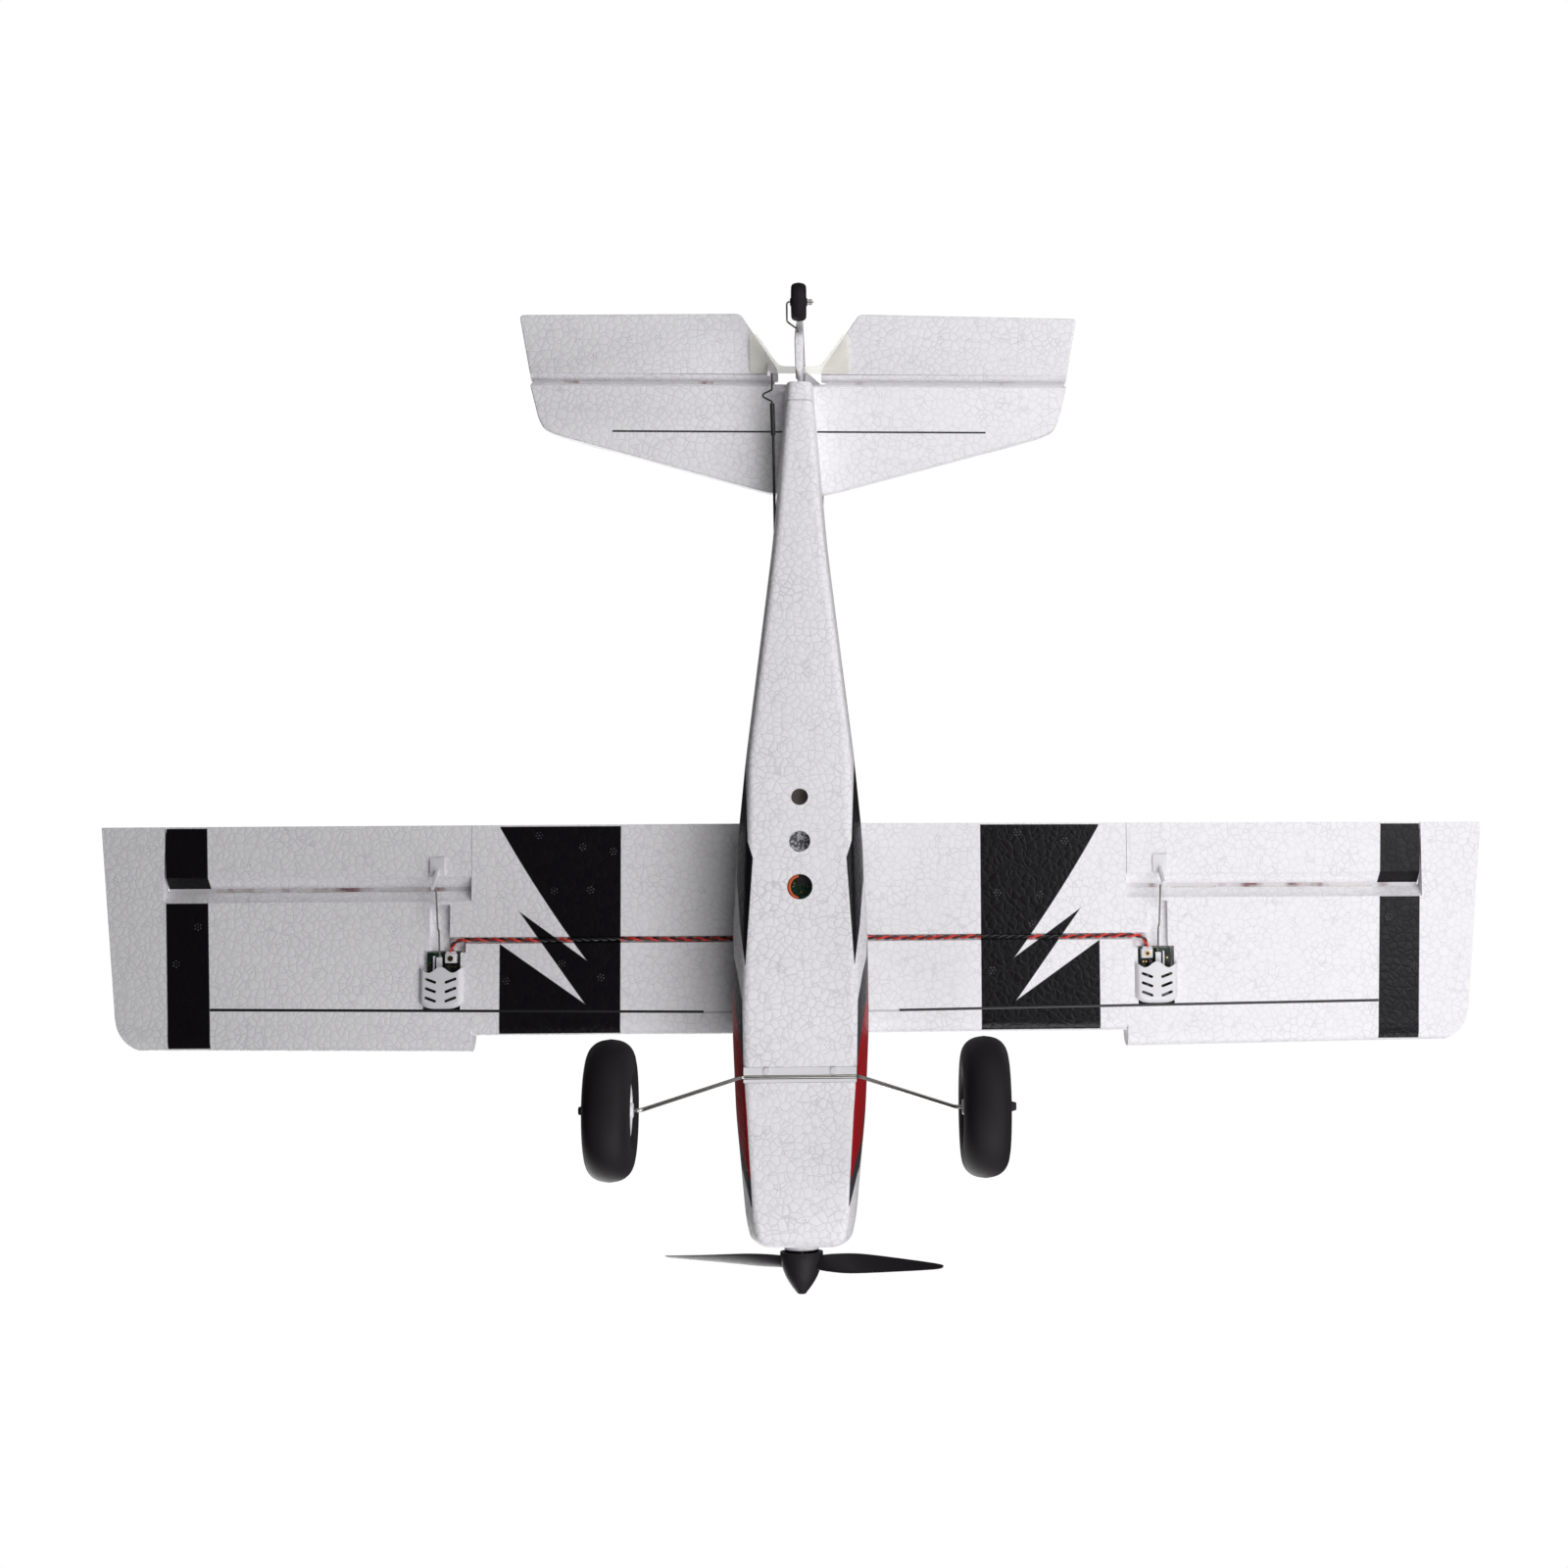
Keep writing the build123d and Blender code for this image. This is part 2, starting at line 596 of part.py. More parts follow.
# ---------------------------------------------------------------- tail
def stabilizer():
    """The fixed tailplane, one piece across the fuselage."""
    y = ELEVATOR_HINGE_Y - HINGE_GAP / 2
    top = SPLIT_Z + STAB_THICK
    foot = SPLIT_Z - 1
    left = [(11.4, 145.0), (108.0, 171.5), (114.5, 175.5), (STAB_TIP_X, y)]
    right = [(-x, y) for x, y in reversed(left)]
    plate = outline_prism(left + right, SPLIT_Z, top)
    plate -= side_prism([(y, top), (y + 2, top), (y + 2, foot), (y - 2.9, foot)], -130, 130)
    return plate - solid_cylinder(STAB_SPAR_R + 0.08, *STAB_SPAR_ENDS)


def stabilizer_spar():
    return solid_cylinder(STAB_SPAR_R, *STAB_SPAR_ENDS)


def elevator_half():
    """The left elevator: a tapered plate with a slanted root that clears the rudder."""
    y = ELEVATOR_HINGE_Y + HINGE_GAP / 2
    top = SPLIT_Z + STAB_THICK
    root = [(9.6, y), (9.6, 201.0), (26.5, 227.2)]
    tip = [(TAIL_HALF_SPAN, ELEVATOR_TE_Y - 0.8), (STAB_TIP_X + 0.4, y)]
    plate = outline_prism(root + tip, SPLIT_Z, top)
    keep = side_prism([(y, top), (228, top), (228, top - 1.6), (y + 2.8, SPLIT_Z)], 0, 130)
    return plate & keep


def elevator_joiner():
    """The clear plastic strip that ties the two elevators and carries the horn."""
    low = SPLIT_Z - 0.9
    high = SPLIT_Z - 0.05
    strip = block(-12, 12, 199.2, 202.4, low, high)
    points = [(9.0, 199.2), (22.0, 199.2), (22.0, 217.0), (19.5, 217.0)]
    for side in (-1, 1):
        strip += outline_prism([(side * x, y) for x, y in points], low, high)
    strip -= block(-9.4, 9.4, 202.4, 240, 0, 60)
    return strip


def elevator_horn():
    """The horn under the elevator, on the left of the fuselage."""
    x0 = 12.0 + WIRE_D / 2 + 0.35
    top = SPLIT_Z - 0.95
    profile = [(195.0, 18.2), (197.0, 18.2), (203.5, top), (199.6, top)]
    horn = side_prism(profile, x0, x0 + HORN_THICK)
    for index in range(2):
        y = ELEVATOR_HINGE_Y + 0.2 + 1.3 * index
        z = 19.6 + 2.4 * index
        horn -= solid_cylinder(LINK_HOLE_R, (x0 - 1, y, z), (x0 + 3, y, z))
    return horn


def elevator_pushrod():
    """The carbon rod inside the fuselage."""
    return solid_cylinder(ROD_R, *ELEVATOR_ROD)


def elevator_pushrod_sleeve():
    """The shrink tube that holds the wire end on the rod."""
    sleeve = solid_cylinder(1.05, (11.48, 169.0, 19.3), (11.9, 183.0, 19.5))
    sleeve -= solid_cylinder(ROD_R, *ELEVATOR_ROD)
    return sleeve - solid_cylinder(WIRE_D / 2, (11.5, 170.1, 19.3), (12.0, 190.0, 19.6))


def elevator_pushrod_wire():
    """The wire end with its V bend for trimming."""
    points = [
        (11.5, 170.2, 19.3),
        (12.0, 184.0, 19.6),
        (17.2, 186.6, 19.6),
        (12.0, 189.2, 19.6),
        (12.0, 196.6, 19.6),
    ]
    return bent_wire(points, [1.0, 1.0, 1.0], WIRE_D)


def fin():
    """The upright fin, standing on the stabilizer."""
    base = SPLIT_Z + STAB_THICK + 0.02
    back = RUDDER_HINGE_Y - 0.3
    corner = [(184.0, FIN_TOP_Z), (178.0, FIN_TOP_Z - 5)]
    outline = [(146.0, base), (back, base), (back, FIN_TOP_Z)] + corner
    return side_prism(outline, -RUDDER_THICK / 2, RUDDER_THICK / 2)


def rudder():
    """The rudder with its bevelled front edge and a notch for the elevator's joiner."""
    front = RUDDER_HINGE_Y + 0.4
    heel = [(front, 9.0), (211.0, 9.0), (216.0, 17.0)]
    trailing = [(230.5, 46.0), (230.5, 88.0), (222.0, FIN_TOP_Z), (front, FIN_TOP_Z)]
    outline = heel + trailing
    body = side_prism(outline, -RUDDER_THICK / 2, RUDDER_THICK / 2)
    body -= block(-5, 5, front - 1, 206.6, 26.4, SPLIT_Z + STAB_THICK + 1.2)
    back = front + 3
    wedge = [(0.3, front - 1), (0.3, front), (2.4, back), (3.2, back), (3.2, front - 1)]
    for side in (-1, 1):
        body -= outline_prism([(side * x, y) for x, y in wedge], 0, 120)
    wire_slot = block(-0.5, 0.5, 190, 214.5, 0, 14.3)
    return body - wire_slot


def rudder_horn():
    base = 43.0
    foot = [(-2.35, 199.5), (-2.35, 204.0)]
    tip = [(-11.2, 196.0), (-11.2, 193.0), (-9.4, 193.0)]
    horn = outline_prism(foot + tip, base, base + HORN_THICK)
    return horn - solid_cylinder(LINK_HOLE_R, (-10.4, 194.3, base - 2), (-10.4, 194.3, base + 3))


def rudder_pushrod():
    """The carbon rod and wire that run above the stabilizer on the right."""
    return solid_cylinder(ROD_R, *RUDDER_ROD)


def rudder_pushrod_wire():
    points = [(-10.3, 174.2, 39.75), (-10.4, 188.0, 41.2), (-10.4, 194.3, 42.2)]
    return bent_wire(points, [6.0], WIRE_D)


def tail_wheel_wire():
    """The steering wire: up in the rudder, a jog aside, then down to the axle."""
    side = TAIL_WHEEL_W / 2 + 1.9
    points = [
        (0, 196.0, TAIL_WIRE_TOP_Z),
        (0, 213.6, TAIL_WIRE_TOP_Z - 1.6),
        (side, 217.2, TAIL_WIRE_TOP_Z - 2.6),
        (side, TAIL_WHEEL_Y, TAIL_WHEEL_Z),
        (-side - 1.2, TAIL_WHEEL_Y, TAIL_WHEEL_Z),
    ]
    return bent_wire(points, [1.6, 1.6, 1.2], WIRE_D)


def tail_wheel_tyre():
    half = TAIL_WHEEL_W / 2
    r = TAIL_WHEEL_R
    arc = ThreePointArc((-half, r - 2.2), (0, r), (half, r - 2.2))
    sides = Polyline((half, r - 2.2), (half, 4.0), (-half, 4.0), (-half, r - 2.2))
    return Pos(0, TAIL_WHEEL_Y, TAIL_WHEEL_Z) * revolve(closed_face(arc, sides), axis=Axis.X)


def tail_wheel_hub():
    half = TAIL_WHEEL_W / 2 + 0.5
    drum = solid_cylinder(3.98, (-half, 0, 0), (half, 0, 0))
    drum -= solid_cylinder(WIRE_D / 2 + FIT, (-9, 0, 0), (9, 0, 0))
    return Pos(0, TAIL_WHEEL_Y, TAIL_WHEEL_Z) * drum


def tail_wheel_retainer():
    start = -TAIL_WHEEL_W / 2 - 0.7
    cap = solid_cylinder(1.2, (start, 0, 0), (start - 1.8, 0, 0))
    cap -= solid_cylinder(WIRE_D / 2, (9, 0, 0), (-9, 0, 0))
    return Pos(0, TAIL_WHEEL_Y, TAIL_WHEEL_Z) * cap


# ---------------------------------------------------------------- radio gear in the fuselage
def flight_board():
    """The receiver and speed-control board on the belly foam."""
    top = BOARD_Z + 1.0
    board = block(-14, 14, -52, 14, BOARD_Z, top)
    radio = block(-8, 6, -46, -36, top, top + 1.6)
    power = block(-10, 10, 2, 10, top, top + 1.4)
    return board + radio + power


def tail_servo(x):
    """A linear servo's case and lead screw, standing on the board."""
    z = SERVO_FOOT_Z
    case = block(x - 3.6, x + 3.6, -33, -24, z, z + 6.4)
    posts = block(x - 2.4, x + 2.4, 0.6, 1.8, z, z + 5.4)
    screw = solid_cylinder(0.7, (x, -24, z + SERVO_SCREW_H), (x, 1.2, z + SERVO_SCREW_H))
    return case + posts + screw


def tail_servo_slider(x, rod_z):
    """The nut on the screw, with the post that holds its pushrod."""
    z = SERVO_FOOT_Z + SERVO_SCREW_H
    nut = block(x - 2, x + 2, -18, -12.1, z - 2, z + 2)
    post = block(x - 0.9, x + 0.9, -16, -12.1, z + 1.9, rod_z + 1.2)
    return nut + post - solid_cylinder(0.75, (x, -30, z), (x, 10, z))


def battery():
    """A soft-edged flat battery pack on the bay's floor."""
    pack = block(-9.5, 9.5, -147, -102, WALL + 0.8, WALL + 13.4)
    return fillet(pack.edges(), 1.4)


def battery_strap():
    """The hook-and-loop strap around the pack."""
    outer = block(-10.4, 10.4, -131, -119, WALL + 0.25, WALL + 14.3)
    return outer - block(-9.6, 9.6, -140, -110, WALL + 0.75, WALL + 13.5)


# ---------------------------------------------------------------- assembly
def as_list(shape):
    return shape if isinstance(shape, list) else [shape]


def on_side(shape, side):
    """A piece of the flat left wing, lifted to its place on the left or the right."""
    placed = place_wing(shape) & block(0.01, SPAN, -120, 20, 0, 120)
    return placed if side > 0 else mirrored(placed)


def wing_spar():
    return solid_cylinder(SPAR_D / 2, *SPAR_ENDS)


def wing_side(nodes, name, side):
    """Every piece of one wing. The right wing is the left one's mirror image."""
    blank = wing_blank()
    pieces = {
        "wing": wing_panel(blank),
        "aileron": aileron(blank),
        "aileron_horn": aileron_horn(),
        "aileron_pushrod": aileron_pushrod(),
        "servo_board": servo_board(),
        "servo_motor": servo_motor(),
        "servo_slider": servo_slider(),
        "servo_cover": servo_cover(),
        "servo_lead": [servo_plug(), servo_lead()],
    }
    pieces["wing"] -= hinge_strips()
    for piece, shape in pieces.items():
        nodes[name + "_" + piece] = [on_side(part, side) for part in as_list(shape)]


def build_nodes():
    nodes = {
        "fuselage_tub": fuselage_tub(),
        "fuselage_deck": fuselage_deck(),
        "canopy_hatch": canopy_hatch(),
        "hatch_magnets": hatch_magnets(30.5, 33.2),
        "magnet_bridge": magnet_bridge(),
        "landing_gear_plate": landing_gear_plate(),
        "landing_gear_screws": gear_screws(),
        "landing_gear_wire": landing_gear_wire(),
        "motor_mount": motor_mount(),
        "motor_stator": motor_stator(),
        "motor_bell": motor_bell(),
        "motor_shaft": motor_shaft(),
        "propeller": propeller(),
        "propeller_nut": propeller_nut(),
        "spinner": spinner(),
        "stabilizer": stabilizer(),
        "left_elevator": elevator_half(),
        "right_elevator": mirrored(elevator_half()),
        "elevator_joiner": elevator_joiner(),
        "elevator_horn": elevator_horn(),
        "elevator_pushrod": [
            elevator_pushrod(),
            elevator_pushrod_sleeve(),
            elevator_pushrod_wire(),
        ],
        "fin": fin(),
        "rudder": rudder(),
        "rudder_horn": rudder_horn(),
        "rudder_pushrod": [rudder_pushrod(), rudder_pushrod_wire()],
        "tail_wheel_wire": [tail_wheel_wire(), tail_wheel_retainer()],
        "tail_wheel_tyre": tail_wheel_tyre(),
        "tail_wheel_hub": tail_wheel_hub(),
        "flight_board": flight_board(),
        "tail_servos": tail_servo(ELEVATOR_SERVO_X) + tail_servo(RUDDER_SERVO_X),
        "elevator_servo_slider": tail_servo_slider(ELEVATOR_SERVO_X, 16.2),
        "rudder_servo_slider": tail_servo_slider(RUDDER_SERVO_X, 20.6),
        "battery": battery(),
        "battery_strap": battery_strap(),
    }
    for name, side in (("left", 1), ("right", -1)):
        wing_side(nodes, name, side)
        for piece, shape in (("tyre", tyre()), ("hub", hub())):
            nodes[name + "_" + piece] = shape if side > 0 else mirrored(shape)
    nodes["axle_retainers"] = [wheel_retainer(), mirrored(wheel_retainer())]
    nodes["carbon_spars"] = [on_side(wing_spar(), 1), on_side(wing_spar(), -1), stabilizer_spar()]
    nodes["aileron_hinge_strips"] = [on_side(hinge_strips(), 1), on_side(hinge_strips(), -1)]
    return nodes


def ground_pitch():
    """The nose-up angle at which the main tyres and the tail wheel touch level ground."""
    wheelbase = TAIL_WHEEL_Y - AXLE_Y
    rise = TAIL_WHEEL_Z - AXLE_Z
    pitch = 0.0
    for _ in range(8):
        pitch = math.asin((rise * math.cos(pitch) + TYRE_R - TAIL_WHEEL_R) / wheelbase)
    return math.degrees(pitch)


def main():
    pitch = ground_pitch()
    turned = {}
    for name, shape in build_nodes().items():
        solids = [solid for part in as_list(shape) for solid in part.solids()]
        whole = solids[0] if len(solids) == 1 else Compound(solids)
        turned[name] = Rot(-pitch, 0, 0) * whole
    boxes = [shape.bounding_box() for shape in turned.values()]
    low = min(box.min.Z for box in boxes)
    mid_y = (min(box.min.Y for box in boxes) + max(box.max.Y for box in boxes)) / 2
    print("pitch", round(pitch, 3), "shift", round(-mid_y, 3), round(-low, 3))
    for name, shape in turned.items():
        placed = Pos(0, -mid_y, -low) * shape
        export_step(placed, "parts/" + name + ".step")


main()
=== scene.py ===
# %% [markdown]
# # A small foam airplane
# The model is a micro high-wing trainer moulded in white bead foam, seen from below. This
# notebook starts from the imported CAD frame, where every body and joint already has its place,
# and gives each piece the surface and the finish that it has on a real model.

import json
import math

import bmesh
import bpy
import numpy as np
from mathutils import Matrix, Vector


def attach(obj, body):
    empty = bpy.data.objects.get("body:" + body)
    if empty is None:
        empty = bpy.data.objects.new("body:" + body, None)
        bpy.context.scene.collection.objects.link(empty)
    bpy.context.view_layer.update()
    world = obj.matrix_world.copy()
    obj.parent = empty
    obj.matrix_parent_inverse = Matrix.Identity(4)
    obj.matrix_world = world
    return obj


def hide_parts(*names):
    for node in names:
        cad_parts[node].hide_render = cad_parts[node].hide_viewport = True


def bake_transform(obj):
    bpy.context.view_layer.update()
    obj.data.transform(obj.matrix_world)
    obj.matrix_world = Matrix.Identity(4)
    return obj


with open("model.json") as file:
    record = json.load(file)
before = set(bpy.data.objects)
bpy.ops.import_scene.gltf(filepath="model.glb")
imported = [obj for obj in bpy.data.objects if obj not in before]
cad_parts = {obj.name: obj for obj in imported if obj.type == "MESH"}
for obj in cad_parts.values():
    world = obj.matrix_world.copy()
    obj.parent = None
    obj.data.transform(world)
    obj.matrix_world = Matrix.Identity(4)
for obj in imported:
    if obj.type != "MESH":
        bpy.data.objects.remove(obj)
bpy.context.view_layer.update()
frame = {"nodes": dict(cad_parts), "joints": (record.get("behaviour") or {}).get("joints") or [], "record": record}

# %% [markdown]
# The airplane stands on three wheels, so its belly is pitched up. Shapes are easier to think of
# in the airplane's own datum: X to the left wing, Y aft from the wing's trailing edge, Z up from
# the flat belly, in millimetres. Two joints say where that datum lies. The hatch lifts straight
# up from the belly, so its axis is the datum's Z, and the propeller's axis gives one known point.

# %% The datum
MM = 0.001
SIDES = (("left", 1), ("right", -1))
WING_Z = 41.8
DIHEDRAL = math.radians(2.0)
joints = {joint["name"]: joint for joint in frame["joints"]}
datum_z = np.array(joints["hatch_lift"]["axis"], float)
datum_z /= np.linalg.norm(datum_z)
datum_x = np.array([1.0, 0.0, 0.0])
datum_y = np.cross(datum_z, datum_x)
turn = np.stack([datum_x, datum_y, datum_z])
PROP_AT = np.array([0.0, -189.0, 26.5])
origin = np.array(joints["propeller_spin"]["pos_m"], float) - (PROP_AT * MM) @ turn
pitch = math.atan2(datum_z[1], datum_z[2])


def place(points):
    """Datum millimetres to the frame's metres: one turn about X, then one shift."""
    return np.asarray(points, float) * MM @ turn + origin


def lift_wing(points, side=1):
    """A point of a flat left wing, tilted by the dihedral, raised, and mirrored for side -1."""
    p = np.asarray(points, float)
    x = p[..., 0] * math.cos(DIHEDRAL) - p[..., 2] * math.sin(DIHEDRAL)
    z = p[..., 0] * math.sin(DIHEDRAL) + p[..., 2] * math.cos(DIHEDRAL)
    return np.stack([side * x, p[..., 1], z + WING_Z], -1)


print("pitch", round(math.degrees(pitch), 3), "datum origin", origin.round(5))

# %% [markdown]
# The camera looks up at the belly from below and a little behind the propeller, with a normal
# lens. The object sits left of the optical axis, which a small lens shift gives.

# %% The camera
CAMERA_AT = (-15.4, -55.0, -910.7)
CAMERA_AIM = (-62.0, 17.2, 42.0)
CAMERA_UP = (-0.00357, 0.99712, -0.07573)
LENS = 49.39
SENSOR = 36.0
SHIFT_X = -0.10


def linked(name, data):
    """A new object, put into the scene."""
    made = bpy.data.objects.new(name, data)
    bpy.context.scene.collection.objects.link(made)
    return made


def look(made, at, aim, up):
    """Stand at one point and face another: right, up and back, crossed from these, are columns."""
    ahead = (aim - at) / np.linalg.norm(aim - at)
    right = np.cross(ahead, up)
    right /= np.linalg.norm(right)
    matrix = np.eye(4)
    matrix[:3, :3] = np.stack([right, np.cross(right, ahead), -ahead], 1)
    matrix[:3, 3] = at
    made.matrix_world = Matrix(matrix.tolist())


def make_camera():
    """A normal lens, shifted a little sideways."""
    data = bpy.data.cameras.new("camera")
    data.lens = LENS
    data.sensor_width = SENSOR
    data.shift_x = SHIFT_X
    data.clip_start = 0.01
    camera = linked("camera", data)
    look(camera, place(CAMERA_AT), place(CAMERA_AIM), np.array(CAMERA_UP) @ turn)
    bpy.context.scene.camera = camera
    return camera


print("camera at", make_camera().location)

# %% [markdown]
# The studio is a white surround, dim as a light, with soft square lights below the right wing,
# ahead of the nose and behind the tail, and even light from above. The pale floor is seen from
# above only: its underside is clear, so that the belly can be looked at from below.

# %% The studio
FLOOR_HALF = 30.0


def aimed(name, at, aim, size, watts):
    """A square soft light at one datum point, turned to another."""
    data = bpy.data.lights.new(name, "AREA")
    data.shape = "SQUARE"
    data.size = size
    data.energy = watts
    light = linked(name, data)
    look(light, place(at), place(aim), [0.0, 1.0, 0.001])
    light.visible_camera = False


def make_world(seen, dim):
    """White to the eye, dimmer as a light."""
    world = bpy.data.worlds.new("studio")
    bpy.context.scene.world = world
    world.use_nodes = True
    tree = world.node_tree
    tree.nodes.clear()
    output = tree.nodes.new("ShaderNodeOutputWorld")
    ray = tree.nodes.new("ShaderNodeLightPath")
    mix = tree.nodes.new("ShaderNodeMixShader")
    for index, strength in ((1, dim), (2, seen)):
        background = tree.nodes.new("ShaderNodeBackground")
        background.inputs["Color"].default_value = (1, 1, 1, 1)
        background.inputs["Strength"].default_value = strength
        tree.links.new(background.outputs[0], mix.inputs[index])
    tree.links.new(ray.outputs["Is Camera Ray"], mix.inputs[0])
    tree.links.new(mix.outputs[0], output.inputs[0])


def make_floor():
    """A wide pale sheet at the height that the wheels stand on."""
    half = FLOOR_HALF
    mesh = bpy.data.meshes.new("floor")
    corners = [(-half, -half, 0), (half, -half, 0), (half, half, 0), (-half, half, 0)]
    mesh.from_pydata(corners, [], [(0, 1, 2, 3)])
    floor = linked("floor", mesh)
    paper = bpy.data.materials.new("floor_paper")
    paper.use_nodes = True
    tree = paper.node_tree
    shader = tree.nodes["Principled BSDF"]
    shader.inputs["Base Color"].default_value = (0.88, 0.88, 0.88, 1)
    shader.inputs["Roughness"].default_value = 0.9
    clear = tree.nodes.new("ShaderNodeBsdfTransparent")
    mix = tree.nodes.new("ShaderNodeMixShader")
    side = tree.nodes.new("ShaderNodeNewGeometry")
    tree.links.new(side.outputs["Backfacing"], mix.inputs[0])
    tree.links.new(shader.outputs[0], mix.inputs[1])
    tree.links.new(clear.outputs[0], mix.inputs[2])
    tree.links.new(mix.outputs[0], tree.nodes["Material Output"].inputs["Surface"])
    mesh.materials.append(paper)
    floor.visible_shadow = False
    floor.visible_diffuse = False
    floor.visible_glossy = False


def sun(name, direction, strength, spread):
    """Even light from one direction, given as where it travels to in the frame."""
    data = bpy.data.lights.new(name, "SUN")
    data.energy = strength
    data.angle = math.radians(spread)
    light = linked(name, data)
    light.rotation_mode = "QUATERNION"
    light.rotation_quaternion = Vector(direction).to_track_quat("-Z", "Y")


make_world(seen=1.0, dim=0.06)
make_floor()
aimed("key", (-510, 110, -520), (-90, 0, 30), 0.5, 2.4)
aimed("front", (-240, -600, -430), (0, -130, 20), 0.5, 4.1)
aimed("tail", (-180, 540, -420), (0, 200, 30), 0.4, 1.7)
sun("above", (-0.35, 0.45, -1.0), 2.6, 40.0)
bpy.context.scene.view_settings.view_transform = "Standard"

# %% [markdown]
# Every finish is a small node graph. A `Graph` wraps one material, with short calls for the
# nodes used most, so that each finish reads like a recipe. `datum` gives the datum millimetres
# of a point on the surface, through a Mapping node on Object coordinates: painted shapes are
# then drawn with plain distances to lines.


# %% A short hand for material nodes
class Graph:
    """One material, and the few node calls that the finishes need."""

    def __init__(self, name):
        self.material = bpy.data.materials.new(name)
        self.material.use_nodes = True
        self.tree = self.material.node_tree
        self.shader = self.tree.nodes["Principled BSDF"]
        coordinates = self.node("ShaderNodeTexCoord")
        self.object = coordinates.outputs["Object"]
        self.normal = coordinates.outputs["Normal"]

    def node(self, kind, settings=None, **inputs):
        made = self.tree.nodes.new(kind)
        for key, value in (settings or {}).items():
            setattr(made, key, value)
        for key, value in inputs.items():
            self.set(made.inputs[key.replace("_", " ")], value)
        return made

    def set(self, socket, value):
        if isinstance(value, bpy.types.NodeSocket):
            self.tree.links.new(value, socket)
        else:
            socket.default_value = value

    def math(self, operation, a, b=0.0, c=0.0, clamp=False):
        made = self.tree.nodes.new("ShaderNodeMath")
        made.operation = operation
        made.use_clamp = clamp
        for socket, value in zip(made.inputs, (a, b, c)):
            self.set(socket, value)
        return made.outputs[0]

    def mix(self, share, a, b):
        made = self.node("ShaderNodeMix", {"data_type": "RGBA"})
        self.set(made.inputs["Factor"], share)
        colours = [socket for socket in made.inputs if socket.type == "RGBA"]
        for socket, value in zip(colours, (a, b)):
            self.set(socket, value if isinstance(value, bpy.types.NodeSocket) else (*value, 1))
        return made.outputs["Result"] if made.outputs["Result"].type == "RGBA" else made.outputs[2]

    def datum(self):
        """Datum X, Y and Z of the surface, in millimetres, as three sockets."""
        back = -(origin @ turn.T) / MM
        mapping = self.node("ShaderNodeMapping", Vector=self.object)
        mapping.inputs["Scale"].default_value = (1000, 1000, 1000)
        mapping.inputs["Rotation"].default_value = (pitch, 0, 0)
        mapping.inputs["Location"].default_value = back
        parts = self.node("ShaderNodeSeparateXYZ", Vector=mapping.outputs[0])
        return parts.outputs[0], parts.outputs[1], parts.outputs[2]

    def noise(self, scale, detail=3.0, rough=0.5):
        made = self.node("ShaderNodeTexNoise", Vector=self.object)
        made.inputs["Scale"].default_value = scale
        made.inputs["Detail"].default_value = detail
        made.inputs["Roughness"].default_value = rough
        return made.outputs[0]

    def bump(self, height, distance, strength=1.0, after=None):
        made = self.node("ShaderNodeBump", Height=height)
        made.inputs["Distance"].default_value = distance
        made.inputs["Strength"].default_value = strength
        if after is not None:
            self.set(made.inputs["Normal"], after)
        return made.outputs[0]

    def finish(self, colour, roughness, normal=None, **values):
        self.set(self.shader.inputs["Base Color"], colour)
        self.set(self.shader.inputs["Roughness"], roughness)
        if normal is not None:
            self.set(self.shader.inputs["Normal"], normal)
        for key, value in values.items():
            self.set(self.shader.inputs[key.replace("_", " ")], value)
        return self.material


def line_side(g, x, y, p, q):
    """Signed distance in millimetres to the line from p to q, positive on its left."""
    dx, dy = q[0] - p[0], q[1] - p[1]
    length = math.hypot(dx, dy)
    a = g.math("MULTIPLY", x, -dy / length)
    b = g.math("MULTIPLY_ADD", y, dx / length, (p[0] * dy - p[1] * dx) / length)
    return g.math("ADD", a, b)


def cut_edge(g, distance, soft=0.18):
    """One where the distance is positive, zero where it is negative, with a soft narrow edge."""
    return g.math("MULTIPLY_ADD", distance, 0.5 / soft, 0.5, clamp=True)


def above(g, value, limit):
    return cut_edge(g, g.math("SUBTRACT", value, limit))


def below(g, value, limit):
    return cut_edge(g, g.math("SUBTRACT", limit, value))


def both(g, *masks):
    """One where every mask is one."""
    result = masks[0]
    for mask in masks[1:]:
        result = g.math("MINIMUM", result, mask)
    return result


def either(g, *masks):
    """One where any mask is one."""
    result = masks[0]
    for mask in masks[1:]:
        result = g.math("MAXIMUM", result, mask)
    return result


def other(g, mask):
    """One where the mask is zero."""
    return g.math("SUBTRACT", 1.0, mask)


def between(g, value, low, high):
    """One where a value lies between two numbers."""
    inside = g.math("SUBTRACT", value, low)
    outside = g.math("SUBTRACT", high, value)
    return cut_edge(g, g.math("MINIMUM", inside, outside))


def along(g, y, points):
    """A piecewise straight curve of Y: a width or height that changes along the fuselage."""
    low_y, high_y = points[0][0], points[-1][0]
    values = [p[1] for p in points]
    low, high = min(values) - 1.0, max(values) + 1.0
    share = g.math("MULTIPLY_ADD", y, 1 / (high_y - low_y), -low_y / (high_y - low_y), clamp=True)
    curve = g.node("ShaderNodeFloatCurve", Value=share)
    line = curve.mapping.curves[0]
    while len(line.points) < len(points):
        line.points.new(0.5, 0.5)
    for knot, (at, value) in zip(line.points, points):
        knot.location = ((at - low_y) / (high_y - low_y), (value - low) / (high - low))
        knot.handle_type = "VECTOR"
    curve.mapping.update()
    return g.math("MULTIPLY_ADD", curve.outputs[0], high - low, low)


